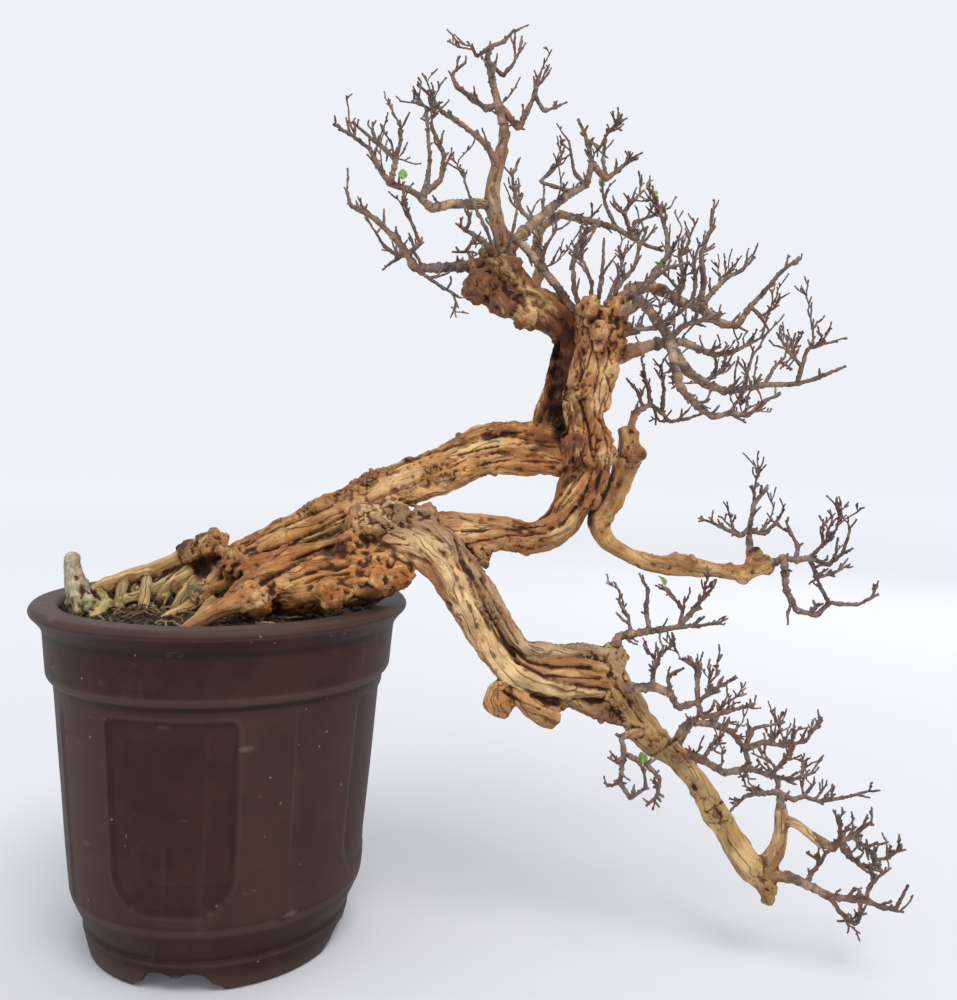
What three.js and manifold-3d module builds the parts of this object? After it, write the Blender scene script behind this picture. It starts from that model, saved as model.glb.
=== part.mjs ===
// A cascading bonsai with bare winter twigs, rooted in the soil of a deep round clay pot.
// Millimetres, +Z up, front towards -Y. The origin is under the middle of the whole object.
import * as THREE from "three";
import { mergeVertices } from "three/addons/utils/BufferGeometryUtils.js";
import Module from "manifold-3d";

const wasm = await Module();
wasm.setup();

// Driving sizes of the pot, in millimetres and degrees
const pot = {
  height: 219,
  lipRadius: 120,
  mouthRadius: 102,
  floorTop: 24,
  underside: 14,
  footRadius: 80,
  footInside: 66,
  turn: -3,
  panelHalf: 22,
  panelDepth: 2.6,
  creaseRise: 1.8,
  archHalf: 28,
  archHeight: 12.5,
  drainRadius: 11,
};
const soil = { edge: 208.6, middle: 214.5 };
const seatGap = 0.35; // clearance wherever one piece rests on another
const drainNet = { half: 16, bars: 4, barWidth: 1.6, thick: 1.4 };
const rootPlug = { across: 34, away: -8, topRadius: 34, footRadius: 24, foot: 165 };

// The eye that looks at the tree, in millimetres from the middle of the pot's base. Limbs and twigs are
// laid out as that eye sees them: across and down on a picture 957 wide and 1000 high, then the depth
// away from the eye in millimetres, then the radius on the picture.
const eye = { across: 165.5, away: -663, up: 328.5 };
const picture = { middle: 478.5, horizon: 436, focal: 1000, roll: THREE.MathUtils.degToRad(1.2) };

function reach(away) {
  return (away - eye.away) / picture.focal;
}

function spot(across, down, away) {
  const dx = across - picture.middle;
  const dy = down - picture.horizon;
  const right = dx * Math.cos(picture.roll) + dy * Math.sin(picture.roll);
  const below = dy * Math.cos(picture.roll) - dx * Math.sin(picture.roll);
  return new THREE.Vector3(eye.across + right * reach(away), away, eye.up - below * reach(away));
}

// Limbs of old wood: [across, down, away, radius]
const limbs = {
  upperTrunk: [
    [203, 604, 6, 24], [226, 578, 6, 29], [262, 553, 6, 28], [300, 532, 6, 25], [350, 508, 5, 21.5],
    [400, 487, 4, 25], [440, 471, 3, 27.5], [488, 450, 4, 24], [530, 451, 6, 26.5], [570, 452, 6, 25],
    [592, 440, 4, 22],
  ],
  lowerRoots: [
    [232, 612, -24, 20], [275, 594, -30, 30], [320, 584, -32, 33], [362, 572, -26, 34], [402, 562, -18, 30],
  ],
  middleTrunk: [
    [362, 552, -10, 28], [410, 536, -6, 23], [450, 533, 0, 20], [494, 531, 0, 20], [535, 537, 0, 18],
    [562, 522, 0, 22], [578, 492, -2, 26], [589, 468, -4, 25], [588, 440, -6, 23], [585, 405, -8, 23],
    [590, 375, -8, 22], [600, 345, -6, 26], [602, 318, -4, 27],
  ],
  hollowTrunk: [
    [545, 446, 16, 21], [556, 410, 20, 18], [565, 375, 20, 17], [570, 347, 18, 20], [560, 323, 12, 22],
    [530, 306, 4, 22], [503, 291, 0, 25], [490, 277, 0, 22],
  ],
  apexStem: [
    [498, 272, 0, 19], [504, 250, 4, 12], [497, 222, 6, 9], [492, 195, 6, 8.5], [496, 170, 6, 7.5],
    [502, 150, 5, 6.5],
  ],
  sideStrand: [
    [624, 427, 10, 9], [629, 449, 8, 14], [622, 474, 6, 13], [611, 500, 4, 14], [600, 521, 4, 12.5],
    [606, 539, 2, 9.5], [627, 553, 0, 8], [652, 563, -2, 8.5], [681, 564, -4, 11.5], [712, 569, -6, 7.5],
    [741, 573, -6, 9.5], [764, 564, -6, 11],
  ],
  cascadeFront: [
    [380, 546, -14, 26], [420, 551, -26, 20], [445, 573, -32, 15.5], [462, 602, -34, 15],
    [478, 632, -34, 14], [497, 660, -33, 13.5], [520, 678, -31, 13], [550, 687, -28, 12],
    [585, 689, -26, 11.5], [618, 687, -22, 12.5],
  ],
  cascadeBack: [
    [396, 531, -10, 24], [432, 541, -16, 19], [462, 566, -20, 16], [484, 598, -20, 15], [503, 630, -20, 14],
    [524, 652, -20, 14], [560, 656, -20, 13], [598, 658, -20, 16], [620, 671, -20, 20],
  ],
  cascadeTail: [
    [606, 676, -20, 20], [626, 704, -22, 19], [648, 735, -24, 17.5], [674, 755, -26, 14],
    [693, 776, -28, 12.5], [708, 798, -30, 12.5], [721, 821, -32, 13.5], [734, 845, -34, 13.5],
    [750, 868, -36, 14.5], [764, 885, -38, 11.5], [769, 898, -38, 7],
  ],
  cascadeFork: [[757, 878, -37, 10], [776, 852, -38, 9], [781, 832, -38, 8], [781, 812, -38, 7]],
  forkArm: [[781, 820, -38, 5.5], [795, 823, -41, 4.8], [808, 833, -44, 4.6], [823, 844, -46, 5.5]],
  brokenSnagLeft: [[512, 684, -31, 9], [497, 690, -34, 9], [496, 702, -35, 14], [509, 713, -34, 8]],
  brokenSnagRight: [[512, 685, -30, 10], [530, 705, -32, 12], [546, 715, -32, 13.5], [558, 717, -32, 9]],
  underBark: [[560, 694, -26, 10], [582, 704, -27, 11], [604, 713, -26, 11], [622, 720, -24, 9]],
  surfaceRoot: [
    [206, 566, 10, 16], [182, 562, 8, 11], [152, 572, 2, 9], [122, 580, -6, 8.5], [100, 589, -14, 9],
    [86, 604, -20, 10],
  ],
  paleStump: [[84, 622, -24, 13], [80, 594, -24, 12.5], [74, 574, -22, 9.5], [72, 559, -22, 8]],
  frontRoot: [[262, 597, -44, 16], [236, 604, -60, 11], [208, 616, -70, 9], [182, 634, -76, 7]],
  fingerOne: [[124, 578, -6, 6], [120, 598, -14, 5.5], [116, 630, -20, 6.5]],
  fingerTwo: [[148, 572, 2, 6], [145, 598, -12, 5.5], [138, 632, -22, 6]],
  fingerThree: [[192, 570, 4, 10], [165, 592, -10, 7], [148, 630, -24, 6]],
  thinRootEnd: [[198, 580, -6, 9], [181, 602, -22, 7], [170, 632, -34, 6]],
  heartwood: [[250, 580, -12, 24], [318, 556, -12, 19], [374, 536, -8, 20]],
  cascadeCore: [[498, 652, -24, 9], [530, 667, -20, 12], [570, 671, -20, 13], [608, 676, -18, 14]],
};

// Burls and knuckles: [across, down, away, radius]
const burls = [
  [212, 546, -4, 17], [190, 551, 2, 12], [232, 562, -14, 15], [366, 487, 4, 9], [392, 493, -10, 10],
  [366, 524, -16, 22], [394, 520, -14, 17], [426, 518, -8, 14], [350, 548, -30, 15],
  [254, 602, -48, 20], [333, 596, -54, 14], [373, 578, -44, 16], [397, 586, -34, 17], [202, 594, -26, 13],
  [480, 554, -6, 12], [573, 392, -26, 11], [574, 440, -24, 12], [606, 455, -18, 11], [592, 500, -20, 12],
  [478, 288, -10, 15], [490, 262, 0, 14], [512, 270, -12, 13], [502, 304, -14, 13], [524, 318, -10, 12],
  [590, 310, -18, 13], [613, 311, -14, 14], [602, 336, -22, 13], [621, 352, -8, 10], [634, 453, 0, 9],
  [742, 577, -8, 8], [756, 556, -8, 8], [614, 654, -18, 12], [623, 690, -14, 12], [712, 808, -34, 8],
];

// Sprays of twigs. A stub is the end of the limb that carries the spray: root and tip as
// [across, down, away] and two radii in millimetres. Each stem is a line of [across, down, away]; a side
// stem starts at a point of an earlier one, given as on and at. thick holds its radii in millimetres.
const sprays = [
  {
    name: "spray_apex",
    stub: { root: [500, 156, 5], tip: [504, 138, 4], thick: [4.4, 3.6] },
    stems: [
      {
        thick: [3.3, 0.8], path: [
          [503, 122, 2], [498, 105, 0], [492, 80, -4], [487, 60, -6], [491, 46, -8], [504, 42, -8],
          [515, 29, -10],
        ],
      },
      { on: 0, at: 4, thick: [1.2, 0.6], path: [[477, 57, -8], [471, 47, -10]] },
      {
        on: 0, at: 1, thick: [2.2, 0.8], path: [
          [486, 109, 4], [470, 96, 8], [456, 86, 12], [452, 74, 14], [466, 62, 16],
        ],
      },
      {
        on: 0, at: 1, thick: [2.4, 0.9], path: [
          [519, 128, 6], [527, 112, 8], [535, 95, 10], [540, 74, 12],
        ],
      },
      { on: 3, at: 2, thick: [1.4, 0.7], path: [[544, 112, 12], [556, 107, 16], [567, 102, 18]] },
      {
        on: 0, at: 3, thick: [1.5, 0.7], path: [
          [503, 76, 6], [512, 66, 10], [520, 50, 12], [522, 36, 14],
        ],
      },
    ],
    seed: 11, twigs: 10, length: 17,
  },
  {
    name: "spray_crown_left",
    stub: { root: [497, 166, 4], tip: [489, 149, -4], thick: [3.0, 2.4] },
    stems: [
      {
        thick: [2.2, 0.8], path: [
          [477, 136, -10], [457, 121, -16], [442, 112, -20], [431, 96, -22], [417, 84, -24],
        ],
      },
      { on: 0, at: 3, thick: [1.0, 0.7], path: [[434, 113, -24], [426, 106, -28]] },
    ],
    seed: 23, twigs: 4, length: 15,
  },
  {
    name: "spray_left_high",
    stub: { root: [494, 204, 6], tip: [472, 204, 0], thick: [4.2, 3.4] },
    stems: [
      {
        thick: [3.3, 0.8], path: [
          [449, 204, -6], [431, 209, -10], [421, 197, -12], [408, 189, -14], [390, 184, -18],
          [378, 166, -22], [370, 149, -24], [350, 134, -28], [333, 124, -30],
        ],
      },
      { on: 0, at: 4, thick: [2.0, 0.7], path: [[396, 160, -12], [376, 142, -10], [352, 122, -8]] },
      { on: 1, at: 0, thick: [1.3, 0.7], path: [[401, 140, -8], [400, 120, -6]] },
      {
        on: 0, at: 2, thick: [1.9, 0.7], path: [
          [427, 182, -4], [430, 160, 2], [428, 136, 6], [427, 112, 8],
        ],
      },
      {
        on: 0, at: 2, thick: [1.9, 0.7], path: [
          [441, 180, -16], [444, 155, -20], [436, 136, -24], [430, 122, -26],
        ],
      },
    ],
    seed: 37, twigs: 12, length: 17,
  },
  {
    name: "spray_left_low",
    stub: { root: [490, 264, 2], tip: [462, 266, -4], thick: [4.8, 3.9] },
    stems: [
      {
        thick: [3.8, 0.8], path: [
          [440, 268, -8], [414, 268, -12], [408, 254, -14], [393, 236, -18], [374, 218, -22],
          [350, 205, -26], [346, 189, -28],
        ],
      },
      { on: 0, at: 2, thick: [1.8, 0.7], path: [[398, 256, -4], [384, 246, 0], [374, 230, 4]] },
      { on: 0, at: 2, thick: [1.5, 0.6], path: [[420, 244, -20], [410, 218, -24], [402, 196, -28]] },
      { on: 0, at: 1, thick: [1.4, 0.8], path: [[440, 286, -14], [458, 296, -18]] },
    ],
    seed: 41, twigs: 8, length: 16,
  },
  {
    name: "spray_inner_left",
    stub: { root: [500, 258, 0], tip: [484, 243, -16], thick: [3.2, 2.2] },
    stems: [
      { thick: [2.0, 0.8], path: [[475, 236, -20], [466, 230, -22], [460, 225, -24]] },
      { on: 0, at: 1, thick: [1.2, 0.6], path: [[470, 222, -30], [467, 206, -34]] },
      { on: 0, at: 0, thick: [1.2, 0.6], path: [[466, 252, -26], [452, 252, -28]] },
    ],
    seed: 53, twigs: 4, length: 13,
  },
  {
    name: "spray_crown_right",
    stub: { root: [508, 250, 8], tip: [523, 233, 14], thick: [5.0, 4.2] },
    stems: [
      {
        thick: [4.0, 0.9], path: [
          [535, 222, 18], [553, 206, 22], [572, 192, 26], [586, 186, 28], [592, 164, 28],
          [587, 140, 28], [578, 119, 30],
        ],
      },
      { on: 0, at: 4, thick: [2.4, 0.8], path: [[606, 179, 34], [619, 170, 38], [630, 158, 42]] },
      { on: 1, at: 0, thick: [1.4, 0.7], path: [[603, 160, 36], [606, 138, 36]] },
      { on: 0, at: 2, thick: [1.4, 0.7], path: [[540, 182, 20], [556, 166, 22], [562, 158, 24]] },
      { on: 0, at: 5, thick: [1.3, 0.7], path: [[600, 148, 22], [609, 130, 18]] },
      { on: 0, at: 3, thick: [1.5, 0.7], path: [[574, 172, 30], [569, 140, 34]] },
    ],
    seed: 67, twigs: 10, length: 16,
  },
  {
    name: "spray_shoulder",
    stub: { root: [528, 300, 14], tip: [540, 272, 24], thick: [5.2, 4.2] },
    stems: [
      {
        thick: [4.0, 1.0], path: [
          [536, 250, 34], [540, 228, 42], [560, 214, 48], [580, 219, 50], [598, 223, 52],
          [616, 228, 54], [632, 238, 54], [648, 246, 54], [663, 251, 54],
        ],
      },
      { on: 0, at: 5, thick: [1.5, 0.8], path: [[606, 206, 60], [602, 190, 64]] },
      { on: 0, at: 6, thick: [1.8, 0.8], path: [[624, 212, 48], [634, 200, 44], [644, 190, 42]] },
      { on: 0, at: 6, thick: [1.6, 0.7], path: [[634, 222, 62], [652, 216, 66], [664, 212, 68]] },
      { on: 0, at: 1, thick: [1.8, 0.7], path: [[522, 212, 50], [514, 190, 56], [511, 168, 60]] },
      { on: 0, at: 4, thick: [1.8, 0.8], path: [[582, 236, 44], [574, 256, 40], [570, 270, 38]] },
    ],
    seed: 71, twigs: 12, length: 16,
  },
  {
    name: "spray_right_top",
    stub: { root: [600, 326, 2], tip: [630, 292, 22], thick: [6.4, 4.8] },
    stems: [
      {
        thick: [4.4, 0.9], path: [
          [648, 286, 28], [662, 290, 26], [676, 300, 22], [699, 308, 18], [722, 324, 14],
          [737, 326, 12], [750, 307, 10], [764, 292, 8], [781, 272, 6], [800, 257, 4],
        ],
      },
      {
        on: 0, at: 0, thick: [2.6, 0.8], path: [
          [655, 272, 36], [668, 256, 40], [667, 234, 44], [660, 212, 46], [656, 196, 48],
        ],
      },
      {
        on: 0, at: 3, thick: [2.2, 0.8], path: [
          [704, 282, 10], [701, 254, 6], [711, 230, 2], [712, 208, 0],
        ],
      },
      {
        on: 0, at: 3, thick: [1.9, 0.8], path: [
          [716, 288, 26], [728, 277, 30], [742, 270, 32], [755, 257, 34],
        ],
      },
      { on: 0, at: 6, thick: [1.2, 0.7], path: [[762, 316, 18], [774, 308, 24]] },
      { on: 0, at: 2, thick: [1.8, 0.8], path: [[684, 280, 14], [680, 258, 12], [690, 240, 10]] },
    ],
    seed: 83, twigs: 17, length: 15,
  },
  {
    name: "spray_right_crossing",
    stub: { root: [618, 318, -16], tip: [636, 303, -26], thick: [4.6, 3.8] },
    stems: [
      {
        thick: [3.6, 0.8], path: [
          [646, 306, -30], [658, 322, -34], [670, 338, -38], [674, 363, -42], [681, 389, -44],
          [698, 407, -46], [713, 417, -48], [731, 413, -50], [748, 416, -52], [764, 401, -54],
          [780, 394, -56],
        ],
      },
      { on: 0, at: 2, thick: [1.8, 0.8], path: [[686, 324, -46], [704, 320, -52], [722, 312, -56]] },
      { on: 0, at: 7, thick: [1.1, 0.7], path: [[736, 402, -42], [750, 398, -38]] },
    ],
    seed: 97, twigs: 8, length: 13,
  },
  {
    name: "spray_right_low",
    stub: { root: [608, 360, 2], tip: [640, 349, 8], thick: [6.4, 4.8] },
    stems: [
      {
        thick: [4.4, 0.9], path: [
          [656, 344, 8], [668, 342, 6], [676, 354, 2], [688, 372, -4], [704, 383, -8], [724, 391, -10],
          [744, 389, -12], [764, 385, -14], [797, 384, -16], [818, 378, -18], [846, 366, -20],
        ],
      },
      {
        on: 0, at: 1, thick: [2.8, 0.8], path: [
          [684, 342, 16], [700, 350, 22], [716, 355, 26], [732, 352, 28], [747, 345, 30],
          [763, 337, 32],
        ],
      },
      {
        on: 0, at: 8, thick: [1.7, 0.7], path: [
          [802, 366, -22], [807, 349, -26], [820, 345, -30], [836, 341, -32],
        ],
      },
      { on: 0, at: 6, thick: [1.5, 0.7], path: [[748, 370, -20], [754, 351, -24]] },
      { on: 0, at: 7, thick: [1.4, 0.7], path: [[774, 368, -6], [786, 356, -2]] },
      { on: 0, at: 4, thick: [1.5, 0.8], path: [[716, 374, 2], [730, 364, 8]] },
    ],
    seed: 101, twigs: 15, length: 14,
  },
  {
    name: "spray_under_crown",
    stub: { root: [628, 440, 12], tip: [634, 416, 20], thick: [3.2, 2.6] },
    stems: [
      {
        thick: [2.4, 0.8], path: [
          [643, 408, 24], [650, 404, 28], [662, 413, 32], [669, 422, 34], [686, 419, 36],
          [702, 414, 38],
        ],
      },
      { on: 0, at: 0, thick: [1.3, 0.7], path: [[638, 392, 28], [626, 378, 30]] },
      { on: 0, at: 1, thick: [1.4, 0.7], path: [[648, 388, 34], [643, 371, 38]] },
      { on: 0, at: 2, thick: [1.5, 0.7], path: [[664, 390, 26], [661, 364, 22]] },
    ],
    seed: 113, twigs: 4, length: 14,
  },
  {
    name: "spray_middle",
    stub: { root: [752, 566, -6], tip: [771, 563, -8], thick: [5.0, 3.2] },
    stems: [
      {
        thick: [2.9, 0.8], path: [
          [784, 558, -10], [796, 560, -12], [809, 558, -14], [829, 565, -18], [843, 553, -22],
          [850, 530, -24],
        ],
      },
      {
        on: 0, at: 0, thick: [2.4, 0.8], path: [
          [785, 574, -18], [786, 590, -22], [797, 611, -26], [818, 615, -28], [829, 603, -30],
          [857, 605, -32], [879, 594, -34],
        ],
      },
      { on: 0, at: 1, thick: [1.5, 0.7], path: [[798, 546, -4], [790, 532, 0], [786, 520, 2]] },
      { on: 0, at: 2, thick: [1.4, 0.7], path: [[818, 577, -8], [834, 573, -4], [850, 564, -2]] },
      { on: 0, at: 2, thick: [1.3, 0.7], path: [[822, 546, -22], [834, 536, -26]] },
      { on: 1, at: 4, thick: [1.3, 0.7], path: [[822, 590, -36], [817, 578, -40]] },
    ],
    seed: 127, twigs: 12, length: 14,
  },
  {
    name: "spray_middle_top",
    stub: { root: [752, 562, -4], tip: [750, 547, 0], thick: [4.2, 3.0] },
    stems: [
      { thick: [2.2, 0.8], path: [[749, 530, 2], [754, 504, 4], [762, 494, 6], [768, 485, 8]] },
      { on: 0, at: 0, thick: [1.7, 0.7], path: [[740, 536, -6], [720, 526, -10], [700, 518, -14]] },
      { on: 0, at: 0, thick: [1.7, 0.7], path: [[764, 534, 12], [775, 524, 18], [783, 511, 22]] },
    ],
    seed: 131, twigs: 6, length: 12,
  },
  {
    name: "spray_elbow_high",
    stub: { root: [610, 656, -18], tip: [618, 639, -18], thick: [4.4, 3.4] },
    stems: [
      {
        thick: [3.0, 0.8], path: [
          [631, 634, -20], [650, 631, -24], [679, 627, -28], [690, 614, -32], [704, 597, -36],
          [714, 587, -38],
        ],
      },
      { on: 0, at: 0, thick: [1.4, 0.7], path: [[628, 616, -14], [618, 599, -10]] },
      { on: 0, at: 1, thick: [1.6, 0.7], path: [[646, 612, -14], [648, 590, -8], [639, 573, -4]] },
      { on: 0, at: 2, thick: [1.4, 0.7], path: [[696, 626, -34], [722, 623, -38]] },
      { on: 0, at: 2, thick: [1.4, 0.7], path: [[683, 610, -18], [667, 588, -10]] },
    ],
    seed: 139, twigs: 9, length: 12,
  },
  {
    name: "spray_elbow_low",
    stub: { root: [614, 684, -24], tip: [634, 688, -34], thick: [4.2, 3.2] },
    stems: [
      {
        thick: [2.8, 0.8], path: [
          [652, 686, -40], [670, 693, -42], [678, 708, -44], [698, 702, -46], [702, 718, -48],
          [726, 712, -50], [740, 708, -52], [753, 704, -54],
        ],
      },
      { on: 0, at: 0, thick: [1.4, 0.7], path: [[654, 668, -48], [664, 645, -52]] },
      { on: 0, at: 3, thick: [1.6, 0.7], path: [[697, 674, -40], [690, 656, -36]] },
      { on: 0, at: 3, thick: [1.4, 0.7], path: [[713, 690, -52], [733, 679, -56]] },
      { on: 0, at: 1, thick: [1.3, 0.7], path: [[668, 676, -34], [684, 668, -30]] },
    ],
    seed: 149, twigs: 12, length: 12,
  },
  {
    name: "spray_tail_high",
    stub: { root: [672, 752, -24], tip: [683, 731, -22], thick: [4.6, 3.6] },
    stems: [
      {
        thick: [3.0, 0.8], path: [
          [692, 722, -16], [714, 724, -12], [730, 731, -10], [745, 749, -8], [754, 728, -6],
          [785, 722, -4],
        ],
      },
      {
        on: 0, at: 3, thick: [1.8, 0.8], path: [
          [764, 742, 2], [784, 746, 6], [806, 741, 8], [822, 717, 10],
        ],
      },
      { on: 0, at: 1, thick: [1.4, 0.7], path: [[722, 706, 0], [738, 696, 6]] },
      { on: 0, at: 3, thick: [1.5, 0.8], path: [[750, 768, -12], [742, 778, -14]] },
    ],
    seed: 151, twigs: 12, length: 12,
  },
  {
    name: "spray_tail_middle",
    stub: { root: [676, 758, -32], tip: [690, 756, -44], thick: [3.6, 2.8] },
    stems: [
      {
        thick: [2.6, 0.8], path: [
          [703, 760, -50], [724, 773, -54], [750, 768, -58], [771, 776, -62], [792, 780, -66],
          [812, 773, -70],
        ],
      },
      { on: 0, at: 3, thick: [1.3, 0.7], path: [[782, 762, -74], [790, 752, -78]] },
      { on: 0, at: 0, thick: [1.2, 0.7], path: [[712, 744, -62], [722, 736, -66]] },
    ],
    seed: 163, twigs: 9, length: 12,
  },
  {
    name: "spray_tail_left",
    stub: { root: [640, 732, -32], tip: [624, 736, -42], thick: [3.4, 2.6] },
    stems: [
      { thick: [2.2, 0.8], path: [[624, 754, -48], [620, 782, -52], [611, 786, -54]] },
      { on: 0, at: 1, thick: [1.5, 0.7], path: [[630, 798, -58], [646, 788, -62], [643, 766, -66]] },
      {
        on: 0, at: 0, thick: [1.6, 0.7], path: [
          [644, 762, -56], [660, 778, -60], [657, 797, -64], [646, 806, -68],
        ],
      },
    ],
    seed: 173, twigs: 6, length: 10,
  },
  {
    name: "spray_fork_top",
    stub: { root: [781, 822, -38], tip: [781, 803, -38], thick: [4.0, 3.0] },
    stems: [
      { thick: [2.4, 0.8], path: [[778, 792, -34], [778, 781, -30], [768, 770, -26]] },
      { on: 0, at: 0, thick: [1.7, 0.7], path: [[764, 793, -40], [745, 796, -46], [733, 808, -50]] },
      { on: 0, at: 0, thick: [1.8, 0.7], path: [[794, 800, -28], [804, 796, -24], [815, 782, -20]] },
      { on: 2, at: 1, thick: [1.3, 0.7], path: [[820, 802, -14], [842, 798, -10], [870, 791, -6]] },
    ],
    seed: 181, twigs: 7, length: 11,
  },
  {
    name: "spray_fork_right",
    stub: { root: [812, 836, -44], tip: [829, 846, -48], thick: [3.4, 2.8] },
    stems: [
      { thick: [2.4, 0.8], path: [[840, 842, -50], [852, 836, -52], [862, 828, -54], [872, 822, -56]] },
      { on: 0, at: 0, thick: [1.8, 0.7], path: [[848, 856, -44], [862, 866, -40], [882, 872, -38]] },
      { on: 0, at: 1, thick: [1.4, 0.7], path: [[866, 848, -60], [878, 842, -64]] },
      { on: 0, at: 0, thick: [1.3, 0.7], path: [[840, 828, -58], [839, 816, -62]] },
      { on: 1, at: 2, thick: [1.2, 0.7], path: [[874, 860, -32], [890, 858, -28]] },
    ],
    seed: 193, twigs: 12, length: 11,
  },
  {
    name: "spray_tip",
    stub: { root: [764, 874, -38], tip: [787, 877, -44], thick: [4.8, 3.4] },
    stems: [
      {
        thick: [3.0, 0.8], path: [
          [806, 884, -48], [830, 897, -52], [852, 899, -56], [866, 900, -58], [884, 908, -60],
          [896, 909, -62], [907, 887, -64],
        ],
      },
      { on: 0, at: 1, thick: [1.5, 0.8], path: [[840, 912, -46], [854, 925, -42], [862, 910, -40]] },
      { on: 0, at: 0, thick: [1.6, 0.7], path: [[812, 872, -40], [822, 862, -36], [806, 852, -32]] },
      { on: 0, at: 3, thick: [1.3, 0.7], path: [[870, 884, -66], [884, 872, -70]] },
    ],
    seed: 197, twigs: 7, length: 12,
  },
];

// Where the few green leaves show: [across, down, away]
const leafMarks = {
  leaf_crown_right: [668, 206, 46],
  leaf_crown_top: [648, 186, 42],
  leaf_crown_middle: [604, 196, 62],
  leaf_inner: [627, 271, 38],
  leaf_left: [447, 180, -18],
  leaf_elbow: [666, 586, -10],
  leaf_tail: [652, 818, -66],
};

const treeWood = new THREE.MeshStandardMaterial({ color: 0xb5834c, roughness: 0.82, metalness: 0 });
const twigWood = new THREE.MeshStandardMaterial({ color: 0x5b4a48, roughness: 0.85, metalness: 0 });
const clay = new THREE.MeshStandardMaterial({ color: 0x3b2826, roughness: 0.6, metalness: 0 });
const earth = new THREE.MeshStandardMaterial({ color: 0x2e231c, roughness: 0.95, metalness: 0 });
const leafGreen = new THREE.MeshStandardMaterial({ color: 0x7d9b3a, roughness: 0.55, metalness: 0 });
const plastic = new THREE.MeshStandardMaterial({ color: 0x1c1c1c, roughness: 0.5, metalness: 0 });

// A seeded draw of numbers from 0 to 1
function dice(seed) {
  let state = seed * 7919 + 1;
  return () => {
    state = (state * 1664525 + 1013904223) % 4294967296;
    return state / 4294967296;
  };
}

function solidOf(geometry) {
  const bare = new THREE.BufferGeometry().setAttribute("position", geometry.getAttribute("position"));
  bare.setIndex(geometry.index);
  const merged = mergeVertices(bare, 1e-4);
  return new wasm.Manifold(
    new wasm.Mesh({
      numProp: 3,
      vertProperties: new Float32Array(merged.attributes.position.array),
      triVerts: new Uint32Array(merged.index.array),
    }),
  );
}

function geometryOf(solid) {
  const mesh = solid.getMesh();
  const count = mesh.numVert;
  const place = new Float32Array(count * 3);
  for (let i = 0; i < count; i++) {
    place.set(mesh.vertProperties.subarray(i * mesh.numProp, i * mesh.numProp + 3), i * 3);
  }
  return new THREE.BufferGeometry()
    .setAttribute("position", new THREE.BufferAttribute(place, 3))
    .setIndex(new THREE.BufferAttribute(mesh.triVerts, 1));
}

function joined(solids) {
  return solids.reduce((all, next) => all.add(next));
}

function largestBody(solid) {
  return solid.decompose().sort((a, b) => b.volume() - a.volume())[0];
}

function named(name, geometry, material) {
  const mesh = new THREE.Mesh(geometry, material);
  mesh.name = name;
  return mesh;
}

// A closed skin over rings of points, each ring with the same number of corners, with a flat start and
// either a flat end or a point
function skin(rings, point) {
  const corners = rings[0].length;
  const faces = [];
  const corner = (ring, i) => ring * corners + (i % corners);
  for (let i = 0; i < corners; i++) {
    for (let ring = 0; ring + 1 < rings.length; ring++) {
      faces.push(corner(ring, i), corner(ring, i + 1), corner(ring + 1, i + 1));
      faces.push(corner(ring, i), corner(ring + 1, i + 1), corner(ring + 1, i));
    }
  }
  const end = rings.length - 1;
  for (let i = 1; i + 1 < corners; i++) {
    faces.push(corner(0, 0), corner(0, i + 1), corner(0, i));
    if (!point) faces.push(corner(end, 0), corner(end, i), corner(end, i + 1));
  }
  const last = rings.length * corners;
  for (let i = 0; point && i < corners; i++) faces.push(last, corner(end, i), corner(end, i + 1));
  const geometry = new THREE.BufferGeometry().setFromPoints([...rings.flat(), ...(point ? [point] : [])]);
  geometry.setIndex(faces);
  return geometry;
}

// Directions square to a line, carried along it without twist
function carry(side, direction) {
  return side.clone().addScaledVector(direction, -side.dot(direction)).normalize();
}

function anySide(direction) {
  const across = Math.abs(direction.y) < 0.8 ? new THREE.Vector3(0, 1, 0) : new THREE.Vector3(1, 0, 0);
  return carry(across, direction);
}

function ringAt(centre, direction, side, radii) {
  const other = new THREE.Vector3().crossVectors(direction, side);
  return radii.map((radius, i) => {
    const turn = (2 * Math.PI * i) / radii.length;
    return centre
      .clone()
      .addScaledVector(side, radius * Math.cos(turn))
      .addScaledVector(other, radius * Math.sin(turn));
  });
}

// Old wood: a limb follows a smooth line, with twisting flutes along it
const flutes = { lobes: 4, depth: 0.1, fineLobes: 7, fineDepth: 0.05, twist: 0.011, step: 21, sides: 8 };

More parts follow.
